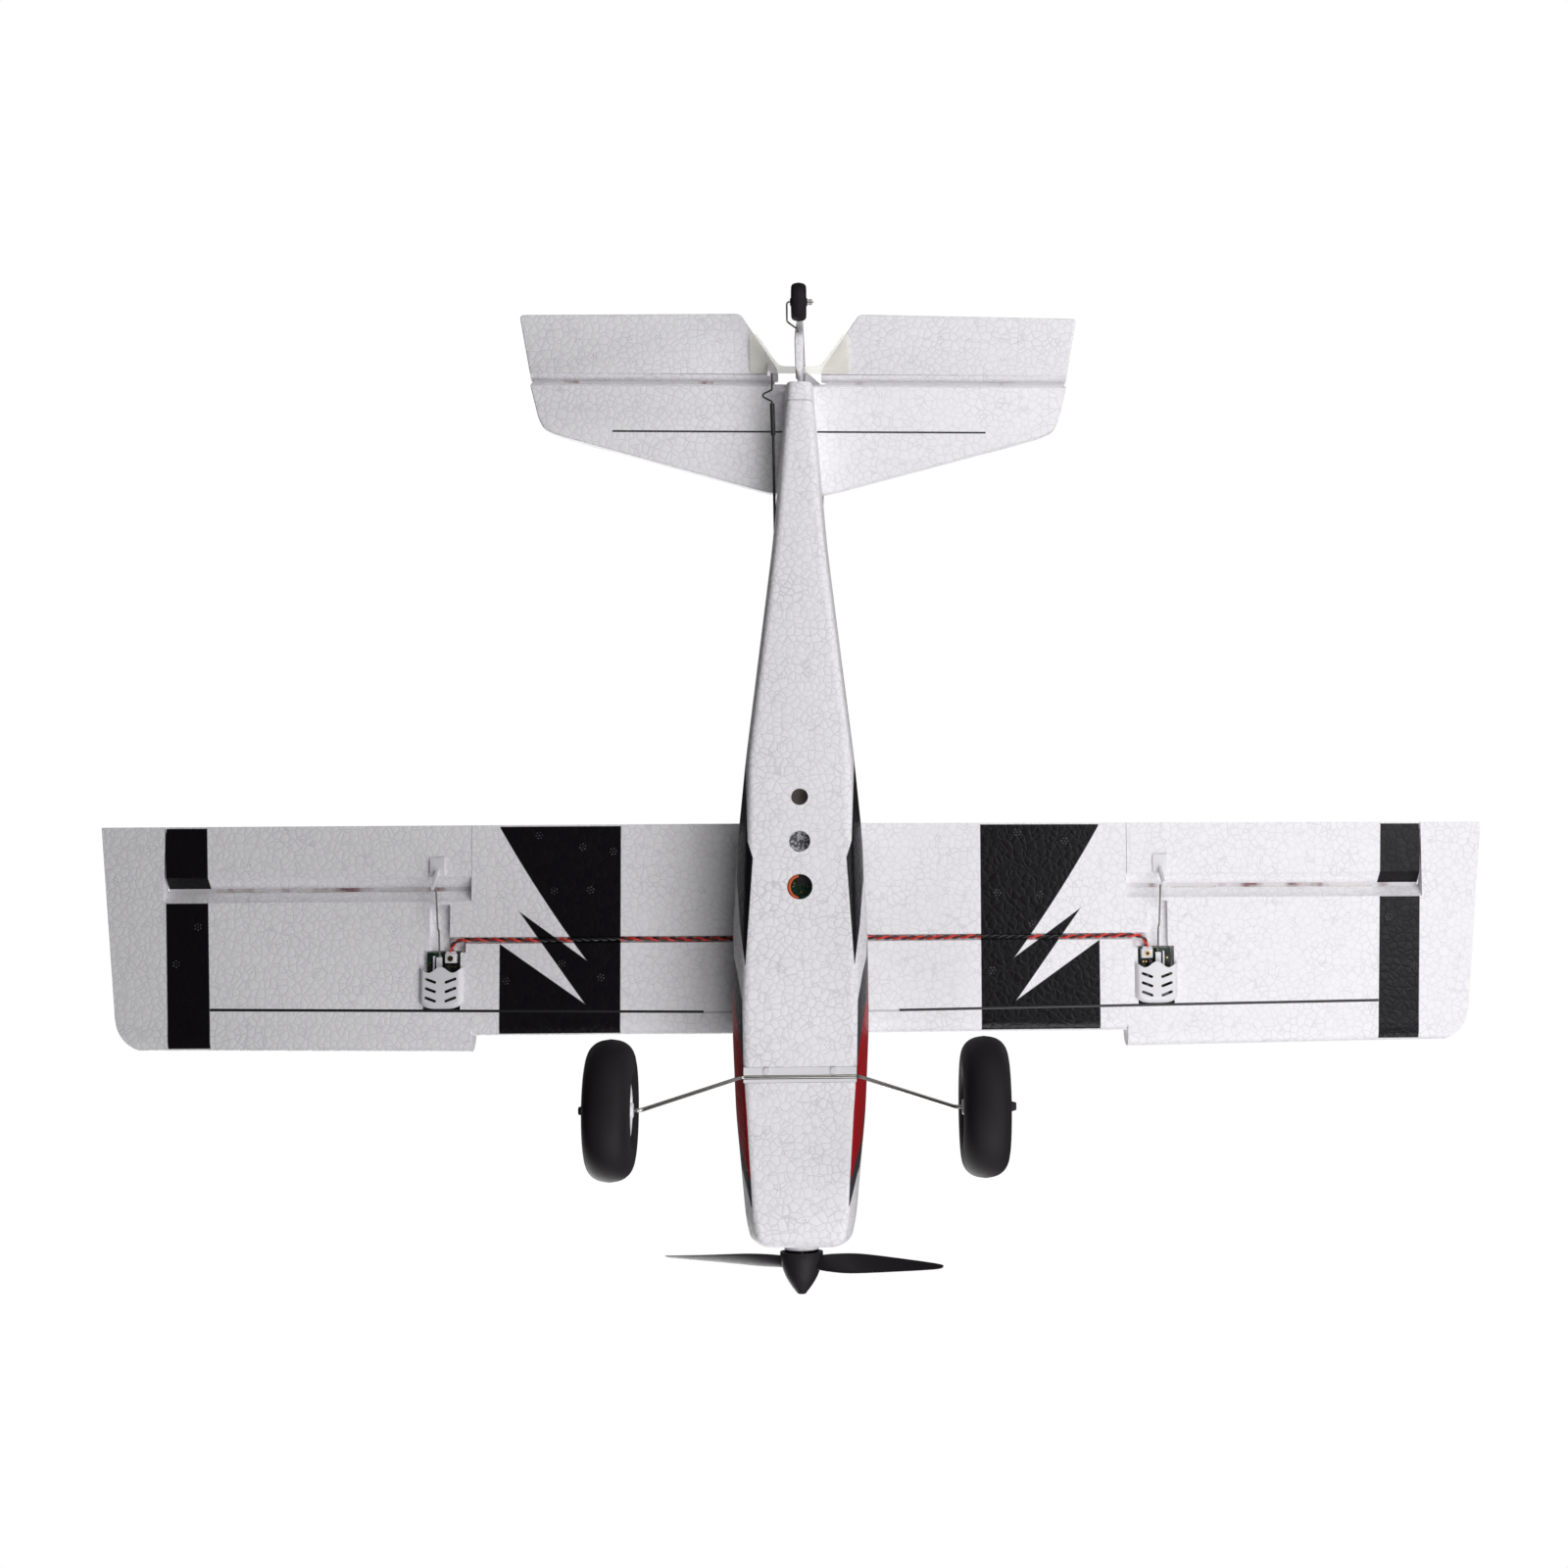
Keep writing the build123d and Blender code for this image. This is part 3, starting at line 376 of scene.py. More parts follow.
# %% [markdown]
# Bead foam is thousands of small white balls steamed together in a mould. They press into flat
# sided cells about three millimetres wide, so the skin shows a faint net of darker joints, with
# each cell a hair lighter or darker than the next. A Voronoi texture is the same geometry:
# distance to the nearest cell wall gives the net, and a low bump makes each bead swell.
# Paint is laid over the foam where a mask says so, and the beads still show through its gloss.

# %% Foam
FOAM_WHITE = (0.86, 0.845, 0.875)
FOAM_JOINT = (0.50, 0.485, 0.525)
# Painted shade: the grey that darkens grooves drawn in colour and not cut in the mesh.
FOAM_PAINTED_SHADE = (0.52, 0.51, 0.54)
PAINT_BLACK = (0.005, 0.004, 0.006)
PAINT_GREY = (0.045, 0.045, 0.052)
PAINT_RED = (0.36, 0.008, 0.012)
BEAD_SCALE = 300.0
BEAD_WOBBLE = 0.0016
NET_WIDTH = 0.10


def foam(name, paints=(), joint=0.5):
    """Foam under any number of (mask maker, colour) paints, the last one uppermost."""
    g = Graph(name)
    wobble = g.node("ShaderNodeTexNoise", Vector=g.object, Scale=180.0, Detail=1.0)
    bent = g.node("ShaderNodeVectorMath", {"operation": "MULTIPLY_ADD"})
    g.set(bent.inputs[0], wobble.outputs["Color"])
    bent.inputs[1].default_value = (BEAD_WOBBLE,) * 3
    g.set(bent.inputs[2], g.object)
    cells = {"feature": "DISTANCE_TO_EDGE"}
    wall = g.node("ShaderNodeTexVoronoi", cells, Vector=bent.outputs[0], Scale=BEAD_SCALE)
    bead = g.node("ShaderNodeTexVoronoi", Vector=bent.outputs[0], Scale=BEAD_SCALE)
    net = g.math("SUBTRACT", 1.0, g.math("DIVIDE", wall.outputs[0], NET_WIDTH, clamp=True))
    net = g.math("POWER", net, 1.4)
    patchy = g.math("MULTIPLY_ADD", g.noise(60.0, 2.0), 1.5, -0.1, clamp=True)
    net_strength = g.math("MULTIPLY", net, g.math("MULTIPLY", patchy, joint))
    tone = g.node("ShaderNodeSeparateColor", Color=bead.outputs["Color"])
    shade = g.math("MULTIPLY", tone.outputs[0], 0.13 * joint)
    colour = g.mix(g.math("ADD", net_strength, shade, clamp=True), FOAM_WHITE, FOAM_JOINT)
    roughness = g.math("MULTIPLY_ADD", tone.outputs[1], 0.12, 0.50)
    if paints:
        where = g.datum()
        for mask_of, paint in paints:
            mask = mask_of(g, *where)
            colour = g.mix(mask, colour, paint)
            gloss = g.math("MULTIPLY_ADD", tone.outputs[1], 0.10, 0.30)
            thin = g.node("ShaderNodeMix", {"data_type": "FLOAT"})
            g.set(thin.inputs[0], mask)
            g.set(thin.inputs[2], roughness)
            g.set(thin.inputs[3], gloss)
            roughness = thin.outputs[0]
    swell = g.math("POWER", g.math("MULTIPLY", wall.outputs[0], 3.0, clamp=True), 0.6)
    fine = g.bump(g.noise(900.0, 2.0), 0.00006, 0.5)
    normal = g.bump(swell, 0.00014, 0.75, after=fine)
    return g.finish(colour, roughness, normal, Specular_IOR_Level=0.20)


# %% [markdown]
# The wings carry a black panel torn by two lightning spears, and a black band near each tip.
# A painted shape is a few half planes joined by "both" and "either". The same panel is red on
# the upper side, which is told from the underside by its height above the wing's flat face. The
# band goes right round the wing, but the wing's slope into the hinge groove stays white.

# %% Wing paint
PANEL_X = (79.5, 132.6)
PANEL_Y = (-91.7, -0.7)
SPEAR_OUT = [(133.0, -0.6), (94.6, -59.6), (124.3, -38.0), (95.3, -78.6), (132.7, -52.2)]
PANEL_BULGE = 1.1
BAND_X = (261.5, 280.0)
BAND_Y = (-97.2, -0.7)
BAND_LEAN = 0.032
TOP_SHEET = (0.7, -0.028)
SLOPE_SHEET = (37.99, 1.121)
SLOPE_Y = (-33.6, -28.0)
SPAR_END_X = (29.0, 43.0)
SPAR_Y = (-83.3, -82.5)


def over_sheet(g, x, y, z, start, steep):
    """One above a sheet: start over the wing's flat face at Y = 0, plus steep for each mm aft."""
    rise = g.math("MULTIPLY_ADD", g.math("ABSOLUTE", x), -math.tan(DIHEDRAL), -WING_Z - start)
    rise = g.math("MULTIPLY_ADD", y, -steep, rise)
    return cut_edge(g, g.math("ADD", z, rise), 0.2)


def wing_top(g, x, y, z):
    """One on the upper skin: above a sheet that leaves the trailing edge and rises forward."""
    return over_sheet(g, x, y, z, *TOP_SHEET)


def spear_panel(g, x, y, z):
    """The panel less the two white tongues that the spears leave."""
    x = g.math("ABSOLUTE", x)
    b, tip_1, barb, tip_2, corner = SPEAR_OUT
    middle = g.math("MULTIPLY_ADD", y, 1 / 30.0, 1.0)
    bulge = g.math("MULTIPLY_ADD", g.math("MULTIPLY", middle, middle), PANEL_BULGE, -PANEL_BULGE)
    inboard = line_side(g, x, y, tip_1, b)
    tongue_1 = both(
        g,
        cut_edge(g, g.math("SUBTRACT", bulge, inboard)),
        cut_edge(g, line_side(g, x, y, tip_1, barb)),
    )
    tongue_2 = both(
        g,
        cut_edge(g, line_side(g, x, y, barb, tip_2)),
        cut_edge(g, line_side(g, x, y, tip_2, corner)),
    )
    panel = both(g, between(g, x, *PANEL_X), between(g, y, *PANEL_Y))
    return both(g, panel, other(g, either(g, tongue_1, tongue_2)))


def tip_band(g, x, y, z):
    """Black from edge to edge, except on the wing's slope down into the hinge groove."""
    straight = g.math("MULTIPLY_ADD", y, -BAND_LEAN, g.math("ABSOLUTE", x))
    band = both(g, between(g, straight, *BAND_X), between(g, y, *BAND_Y))
    slope = both(g, between(g, y, *SLOPE_Y), other(g, over_sheet(g, x, y, z, *SLOPE_SHEET)))
    return both(g, band, other(g, slope))


def wing_black(g, x, y, z):
    """The panel on the underside, and the band all round."""
    low = other(g, wing_top(g, x, y, z))
    return either(g, both(g, spear_panel(g, x, y, z), low), tip_band(g, x, y, z))


def wing_red(g, x, y, z):
    """The panel on the upper side."""
    return both(g, spear_panel(g, x, y, z), wing_top(g, x, y, z))


def spar_groove_painted_shade(g, x, y, z):
    """Painted shade: a darker strip for the shallow end of the spar's groove, inboard of the rod."""
    low = other(g, wing_top(g, x, y, z))
    return both(g, low, between(g, g.math("ABSOLUTE", x), *SPAR_END_X), between(g, y, *SPAR_Y))


foam_wing = foam(
    "foam_wing",
    [(spar_groove_painted_shade, FOAM_PAINTED_SHADE), (wing_black, PAINT_BLACK), (wing_red, PAINT_RED)],
    joint=0.50,
)
print("made", foam_wing.name)

# %% [markdown]
# The fuselage sides carry a sweep of paint along the turn of the belly: a black spear by the
# wing, then dark grey and red bands that run forward to a point. Its edges are curves of Y. The
# height across them is measured round the corner: half width on the flare below, plus the
# height above it on the side.

# %% Fuselage paint
FLARE_TOP = 12.0
SPEAR_LOW = [(-62, 22.9), (-40, 21.3), (-17, 19.7), (-10, 21.9), (0, 22.3), (25, 23.2), (66, 18.4)]
SPEAR_HIGH = [(-62, 23.1), (-45, 25.4), (-30, 26.6), (-8, 29.5), (25, 28.5), (66, 19.0)]
BAND_LOW = [
    (-163, 20.2), (-150, 20.8), (-125, 22.4), (-106, 23.8), (-77, 24.3), (-65, 26.6), (-52, 30.0)
]
BAND_HIGH = [(-163, 20.6), (-150, 24.0), (-140, 28.0), (-120, 34.5), (-85, 37.5), (-52, 31.0)]
RED_LOW = [(-152, 20.9), (-125, 22.3), (-106, 23.7), (-95, 25.2), (-80, 27.5), (-60, 32.0)]
RED_HIGH = [(-152, 21.0), (-142, 24.0), (-120, 31.0), (-85, 34.5), (-60, 32.5)]
PAINT_TOP_Z = 27.0
PANES_Y = [(-95.8, -71.8), (-68.3, -42.8), (-39.3, -15.8)]
PANES_Z = (32.6, 40.2)
PANES_LEAN = 0.25
CABIN_SIDE_X = 18.0
SCREEN_Y = (-118.5, -94.6)
SCREEN_LOW_Z, SCREEN_HALF_X = 44.0, 20.2
SEAM_Y = (182.8, 183.5)


def outside(g, x):
    """One on faces that look away from the middle plane, so that a bay's walls stay bare."""
    sideways = g.node("ShaderNodeSeparateXYZ", Vector=g.normal).outputs[0]
    return cut_edge(g, g.math("MULTIPLY_ADD", sideways, x, 1.0), 0.5)


def round_corner(g, x, z):
    """Half width, plus the height above the flare."""
    rise = g.math("MAXIMUM", g.math("SUBTRACT", z, FLARE_TOP), 0.0)
    return g.math("ADD", g.math("ABSOLUTE", x), rise)


def ribbon(low, high):
    """A mask between two curves of Y, and within their ends, on the outer skin."""

    def mask(g, x, y, z):
        reach = round_corner(g, x, z)
        width = both(g, above(g, reach, along(g, y, low)), below(g, reach, along(g, y, high)))
        length = between(g, y, low[0][0], low[-1][0])
        return both(g, width, length, below(g, z, PAINT_TOP_Z), outside(g, x))

    return mask


def cabin_windows(g, x, y, z):
    """Dark side windows below the wing, their ends leaning, and the windscreen before it."""
    leaning = g.math("MULTIPLY_ADD", z, -PANES_LEAN, y)
    half = g.math("ABSOLUTE", x)
    panes = either(g, *[between(g, leaning, *ends) for ends in PANES_Y])
    side = both(g, panes, between(g, z, *PANES_Z), outside(g, x), above(g, half, CABIN_SIDE_X))
    screen = both(g, between(g, y, *SCREEN_Y), above(g, z, SCREEN_LOW_Z))
    return either(g, side, both(g, screen, below(g, half, SCREEN_HALF_X)))


def tail_seam_painted_shade(g, x, y, z):
    """Painted shade: a darker line for the groove at the tail block's parting line."""
    return both(g, between(g, y, *SEAM_Y), below(g, z, 29.0))


foam_body = foam(
    "foam_body",
    [
        (tail_seam_painted_shade, FOAM_PAINTED_SHADE),
        (ribbon(SPEAR_LOW, SPEAR_HIGH), PAINT_BLACK),
        (ribbon(BAND_LOW, BAND_HIGH), PAINT_GREY),
        (ribbon(RED_LOW, RED_HIGH), PAINT_RED),
        (cabin_windows, PAINT_BLACK),
    ],
    joint=0.66,
)
print("made", foam_body.name)

# %% [markdown]
# The fin and rudder have a dark flash and a red stripe beside it, both leaning back. They run
# from the fixed fin on to the rudder, so both pieces take one finish. The tailplane has a black
# band near each tip, on its upper face only.

# %% Tail paint
FIN_LEAN = 0.42
FIN_PAINT_Z = 38.0
TAIL_TOP_Z = 34.0
TAIL_BAND_X = (84.0, 96.0)


def fin_stripe(low, high):
    """A mask between two leaning lines, over the whole height of the fin."""

    def mask(g, x, y, z):
        leaning = g.math("MULTIPLY_ADD", z, -FIN_LEAN, y)
        return both(g, between(g, leaning, low, high), above(g, z, FIN_PAINT_Z))

    return mask


def tail_top_band(g, x, y, z):
    """A band near each tip, on the upper face."""
    return both(g, above(g, z, TAIL_TOP_Z), between(g, g.math("ABSOLUTE", x), *TAIL_BAND_X))


fin_stripes = [(fin_stripe(150.0, 162.0), PAINT_BLACK), (fin_stripe(163.5, 172.0), PAINT_RED)]
foam_fin = foam("foam_fin", fin_stripes, joint=0.6)
foam_tail = foam("foam_tail", [(tail_top_band, PAINT_BLACK)], joint=0.52)
print("made", foam_fin.name, foam_tail.name)

# %% [markdown]
# The other finishes are short. Moulded plastic is smooth with a faint ripple. A soft tyre is
# dark, slightly purple foam rubber with a fine skin. Carbon is a fine weave of pulled strands.
# Spring steel is bright and drawn lengthwise. A circuit board is green lacquer with tracks.


# %% The other finishes
def plastic(name, colour, roughness, ripple=0.00003, **values):
    """Moulded plastic: tone drifts a little, and a low ripple breaks the highlight."""
    g = Graph(name)
    drift = g.noise(70.0, 2.0)
    darker = tuple(channel * 0.82 for channel in colour)
    made = g.mix(g.math("MULTIPLY", drift, 0.7), colour, darker)
    rough = g.math("MULTIPLY_ADD", g.noise(400.0), 0.14, roughness - 0.07)
    return g.finish(made, rough, g.bump(g.noise(700.0, 2.0), ripple, 0.5), **values)


def rubber():
    """Dark foam rubber: soft clouds of tone, and a fine dusty grain."""
    g = Graph("tyre_rubber")
    cloud = g.noise(45.0, 3.0)
    grain = g.noise(2600.0, 2.0)
    colour = g.mix(cloud, (0.006, 0.0045, 0.006), (0.012, 0.009, 0.0115))
    dusty = g.mix(g.math("MULTIPLY", grain, 0.20), colour, (0.035, 0.030, 0.033))
    rough = g.math("MULTIPLY_ADD", cloud, 0.16, 0.58)
    return g.finish(dusty, rough, g.bump(grain, 0.00004, 0.7), Specular_IOR_Level=0.20)


def carbon():
    """Black rod with fine strands along it."""
    g = Graph("carbon_rod")
    strands = g.node("ShaderNodeTexWave", Vector=g.object, Scale=900.0, Distortion=2.0)
    colour = g.mix(strands.outputs["Fac"], (0.006, 0.006, 0.008), (0.022, 0.022, 0.026))
    return g.finish(colour, 0.34, g.bump(strands.outputs["Fac"], 0.00002, 0.6))


def metal(name, colour, roughness, scale=1500.0):
    """Drawn or turned metal with fine scratches."""
    g = Graph(name)
    scratch = g.noise(scale, 4.0, 0.7)
    made = g.mix(scratch, colour, tuple(channel * 0.6 for channel in colour))
    rough = g.math("MULTIPLY_ADD", scratch, 0.20, roughness - 0.1)
    return g.finish(made, rough, g.bump(scratch, 0.00001, 0.4), Metallic=1.0)


def board_green():
    """Lacquered board: a blocky pattern of tracks a little lighter than the lacquer."""
    g = Graph("board_green")
    shape = {"feature": "F1", "distance": "CHEBYCHEV"}
    tracks = g.node("ShaderNodeTexVoronoi", shape, Vector=g.object, Scale=800.0)
    line = g.math("GREATER_THAN", tracks.outputs["Distance"], 0.52)
    pads = g.node("ShaderNodeTexVoronoi", shape, Vector=g.object, Scale=520.0)
    pad = g.math("LESS_THAN", pads.outputs["Distance"], 0.12)
    colour = g.mix(line, (0.004, 0.030, 0.014), (0.010, 0.075, 0.032))
    colour = g.mix(pad, colour, (0.55, 0.42, 0.18))
    return g.finish(colour, 0.28, g.bump(line, 0.00003, 0.6))


def strap_weave():
    """Black cloth: a small weave that also stands up as a bump."""
    g = Graph("strap_weave")
    weave = g.node("ShaderNodeTexVoronoi", {"feature": "F1"}, Vector=g.object, Scale=1400.0)
    colour = g.mix(weave.outputs["Distance"], (0.01, 0.01, 0.011), (0.05, 0.05, 0.055))
    return g.finish(colour, 0.9, g.bump(weave.outputs["Distance"], 0.0001, 0.8))


def clear_film():
    """Thin clear plastic that yellows a little."""
    g = Graph("clear_film")
    colour = g.mix(g.noise(90.0), (0.95, 0.94, 0.88), (0.90, 0.88, 0.76))
    return g.finish(colour, 0.18, g.bump(g.noise(300.0), 0.00004, 0.5), Alpha=0.36)


white_plastic = plastic("white_plastic", (0.80, 0.79, 0.83), 0.42)
black_plastic = plastic("black_plastic", (0.020, 0.017, 0.020), 0.55, Specular_IOR_Level=0.16)
red_wire = plastic("red_wire", (0.42, 0.012, 0.010), 0.40)
dark_part = plastic("chip_black", (0.010, 0.010, 0.011), 0.45)
battery_wrap = plastic("battery_wrap", (0.10, 0.13, 0.30), 0.30)
brown_card = plastic("brown_card", (0.12, 0.10, 0.085), 0.85)
orange_edge = plastic("orange_edge", (0.60, 0.09, 0.015), 0.45)
tyre_rubber = rubber()
carbon_rod = carbon()
spring_steel = metal("spring_steel", (0.50, 0.48, 0.45), 0.30)
screw_steel = plastic("screw_pale", (0.74, 0.73, 0.75), 0.45)
motor_metal = metal("motor_metal", (0.20, 0.20, 0.21), 0.35)
magnet_metal = metal("magnet_metal", (0.62, 0.62, 0.63), 0.22)
gold_pin = metal("gold_pin", (0.75, 0.52, 0.20), 0.25)
board = board_green()
strap = strap_weave()
film = clear_film()
FINISHES = {
    "foam_white": foam_tail,
    "clear_plastic": film,
    "white_plastic": white_plastic,
    "black_plastic": black_plastic,
    "tyre": tyre_rubber,
    "carbon": carbon_rod,
    "steel_wire": spring_steel,
    "screw_steel": screw_steel,
    "motor_metal": motor_metal,
    "magnet": magnet_metal,
    "circuit_board": board,
    "lead": red_wire,
    "battery_wrap": battery_wrap,
    "strap": strap,
    "hinge_strip": film,
}
print("finishes", len(bpy.data.materials))

# %% [markdown]
# CAD nodes whose shape is already right stay, and only take a finish. The record says which
# slot each node has, so one loop dresses them all, and the painted foam pieces are named after.


# %% Dress the CAD nodes
def dress(node, material):
    """The node's mesh keeps its faces and takes one material."""
    mesh = frame["nodes"][node].data
    mesh.materials.clear()
    mesh.materials.append(material)


for part in frame["record"]["subparts"]:
    dress(part["node"], FINISHES[part["material_slot"]])
for node in ("left_wing", "right_wing", "left_aileron", "right_aileron"):
    dress(node, foam_wing)
for node in ("fuselage_tub", "fuselage_deck", "canopy_hatch"):
    dress(node, foam_body)
for node in ("fin", "rudder"):
    dress(node, foam_fin)
print("dressed", len(frame["nodes"]), "nodes")

# %% [markdown]
# New pieces are grids of points worked out as whole arrays. `skin` lists the faces of a grid,
# joined round one way or both, and `add_piece` puts points and faces into a mesh, shades it
# smooth between sharp edges, and makes it ride on its body.


# %% Surfaces from arrays
def skin(rows, columns, wrap_rows=False, wrap_columns=True, first=0):
    """Four-cornered faces between neighbours of a rows by columns grid, numbered row by row."""
    r = np.arange(rows if wrap_rows else rows - 1)
    c = np.arange(columns if wrap_columns else columns - 1)
    r, c = np.meshgrid(r, c, indexing="ij")
    next_r, next_c = (r + 1) % rows, (c + 1) % columns
    quads = np.stack(
        [r * columns + c, r * columns + next_c, next_r * columns + next_c, next_r * columns + c], -1
    )
    return (quads.reshape(-1, 4) + first).tolist()


def tube_skin(rows, columns):
    """The skin of a tube made of closed rings, with a flat cap on each end."""
    last = (rows - 1) * columns
    caps = [list(range(columns))[::-1], list(range(last, last + columns))]
    return skin(rows, columns) + caps


def mesh_of(name, points, faces, sharp=35.0):
    """A mesh from datum points, its normals turned outwards, its edges sharp past an angle."""
    mesh = bpy.data.meshes.new(name)
    mesh.from_pydata(place(points).reshape(-1, 3).tolist(), [], faces)
    mesh.update()
    tidy_mesh(mesh, sharp)
    return mesh


def tidy_mesh(mesh, sharp=35.0, merge=1e-6):
    """Doubles merged, normals made to point outwards, shading smooth between sharp edges."""
    work = bmesh.new()
    work.from_mesh(mesh)
    bmesh.ops.remove_doubles(work, verts=work.verts, dist=merge)
    bmesh.ops.recalc_face_normals(work, faces=work.faces)
    work.to_mesh(mesh)
    work.free()
    mesh.shade_smooth()
    mesh.set_sharp_from_angle(angle=math.radians(sharp))


def add_piece(name, points, faces, body, material, slot=None, stands_for=(), sharp=35.0):
    """A new piece from points in datum millimetres, on its body."""
    piece = named(points, faces, name, material, sharp)
    return settle(piece, body, stands_for)


def named(points, faces, name, material, sharp=35.0):
    """A new object with one material, not yet on a body."""
    mesh = mesh_of(name, points, faces, sharp)
    mesh.materials.append(material)
    return linked(name, mesh)


def settle(piece, body, stands_for=()):
    """Ride on the body, and stand for CAD nodes."""
    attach(piece, body)
    if stands_for:
        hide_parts(*stands_for)
    return piece


def ring_of(section, steps=96):
    """A closed section of (distance along the axis, radius) turned all the way round X."""
    section = np.asarray(section, float)
    angle = np.linspace(0, 2 * math.pi, steps, endpoint=False)
    along_axis = np.repeat(section[:, :1], steps, 1)
    points = np.stack(
        [along_axis, section[:, 1:] * np.cos(angle), section[:, 1:] * np.sin(angle)], -1
    )
    return points.reshape(-1, 3), skin(len(section), steps, wrap_rows=True)


def along_y(section, steps=72):
    """A (distance, radius) section turned about the Y axis, forward for positive distance."""
    points, faces = ring_of(section, steps)
    return np.stack([points[:, 1], -points[:, 0], points[:, 2]], -1), faces


def frames_along(path):
    """Two directions square to a path at each of its points, turned as little as possible."""
    path = np.asarray(path, float)
    ahead = np.gradient(path, axis=0)
    ahead /= np.linalg.norm(ahead, axis=1, keepdims=True)
    first = np.cross(ahead[0], [0.31, 0.17, 0.93])
    sides = [first / np.linalg.norm(first)]
    for direction in ahead[1:]:
        side = sides[-1] - direction * (sides[-1] @ direction)
        sides.append(side / np.linalg.norm(side))
    sides = np.array(sides)
    return sides, np.cross(ahead, sides)


def tube(path, radius, around=12):
    """A circle of one radius, or of a radius for each point, carried along a path, with ends."""
    path = np.asarray(path, float)
    side, up = frames_along(path)
    angle = np.linspace(0, 2 * math.pi, around, endpoint=False)
    radius = np.broadcast_to(np.asarray(radius, float), (len(path),))[:, None, None]
    ring = side[:, None] * np.cos(angle)[None, :, None] + up[:, None] * np.sin(angle)[None, :, None]
    points = path[:, None] + ring * radius
    return points.reshape(-1, 3), tube_skin(len(path), around)


def smooth_path(points, steps=10):
    """A curve through given points: cubic pieces whose slope is that of each one's neighbours."""
    p = np.asarray(points, float)
    p = np.concatenate([2 * p[:1] - p[1:2], p, 2 * p[-1:] - p[-2:-1]])
    a, b, c, d = (p[i : len(p) - 3 + i, None] for i in range(4))
    t = np.linspace(0, 1, steps, endpoint=False)[None, :, None]
    curve = b + 0.5 * t * (c - a + t * (2 * a - 5 * b + 4 * c - d + t * (3 * (b - c) + d - a)))
    return np.concatenate([curve.reshape(-1, p.shape[1]), p[-2:-1]])


def merged(*parts):
    """Several (points, faces) pairs as one."""
    points, faces, count = [], [], 0
    for some_points, some_faces in parts:
        some_points = np.asarray(some_points, float).reshape(-1, 3)
        points.append(some_points)
        faces += [[index + count for index in face] for face in some_faces]
        count += len(some_points)
    return np.concatenate(points), faces


def box_of(x0, x1, y0, y1, z0, z1):
    """A plain box, for chips and for cutting."""
    grid = np.array([(x, y, z) for x in (x0, x1) for y in (y0, y1) for z in (z0, z1)], float)
    faces = [(0, 1, 3, 2), (4, 6, 7, 5), (0, 4, 5, 1), (2, 3, 7, 6), (0, 2, 6, 4), (1, 5, 7, 3)]
    return grid, [list(face) for face in faces]


print("surface helpers ready")

# %% [markdown]
# The fuselage is one hull, cut into three mouldings: the tub below, the deck behind the wing's
# front edge, and the hatch over the battery. A hull is a section of a few corners that changes
# along Y, with each corner rounded by a short curve. Cutting one continuous surface keeps the
# three skins flush, and the cutting tools leave the bays, the belly windows and the slots.

# %% The hull's section
SPLIT_Z = 30.0
NOSE_Y, TAIL_END_Y, DECK_END_Y = -181.0, 191.5, 143.0
BAY_FRONT_Y, SADDLE_FRONT_Y = -160.0, -92.0
WALL = 4.5
THRUST_Z = PROP_AT[2]
NOSE_ROUND = 5.0
FLARE_ROOM = 22.0
CORNER_R = np.array([3.0, 7.0, 6.0, 8.0])
HULL = np.array(
    [
        # Y, half width of the belly, of the sides, of the top, belly Z, top Z
        (NOSE_Y, 17.0, 20.5, 14.0, 6.5, 43.0),
        (-172.0, 19.6, 23.3, 17.5, 2.6, 44.5),
        (-150.0, 21.6, 25.2, 20.0, 0.4, 46.0),
        (-125.0, 22.9, 27.6, 21.5, 0.0, 47.5),
        (-88.0, 24.0, 29.2, 24.0, 0.0, 52.0),
        (-50.0, 23.0, 28.9, 24.0, 0.0, 51.0),
        (-10.0, 22.0, 27.0, 22.0, 0.0, 48.0),
        (25.0, 21.8, 23.5, 17.0, 0.0, 45.0),
        (120.0, 10.4, 12.0, 7.0, 7.0, 37.5),
        (TAIL_END_Y, 4.6, 6.0, 4.0, 14.0, 34.0),
    ]
)


def eased(y, values, reach=9.0):
    """Straight runs between the stations, averaged over a short reach so that they flow."""
    shifts = np.linspace(-reach, reach, 9)
    weight = 1.0 - np.abs(shifts) / (reach * 1.2)
    near = np.interp(y[:, None] + shifts, HULL[:, 0], values)
    return near @ weight / weight.sum()


def rounded(corners, radii, steps):
    """Corners (..., k, 2) rounded: each becomes a curve that starts and ends on its two edges.

    The curve is (1-t)^2 start + 2t(1-t) corner + t^2 end, with the start and the end at most
    0.45 of the way along the corner's edges."""
    corners = np.asarray(corners, float)
    before = np.roll(corners, 1, -2) - corners
    after = np.roll(corners, -1, -2) - corners
    t = np.linspace(0, 1, steps)[:, None]
    sides = []
    for edge in (before, after):
        length = np.linalg.norm(edge, axis=-1, keepdims=True)
        reach = np.minimum(np.asarray(radii, float)[..., None], 0.45 * length)
        sides.append(corners + edge / length * reach)
    start, end = (side[..., None, :] for side in sides)
    curve = (1 - t) ** 2 * start + 2 * t * (1 - t) * corners[..., None, :] + t**2 * end
    return curve.reshape(*corners.shape[:-2], -1, 2)


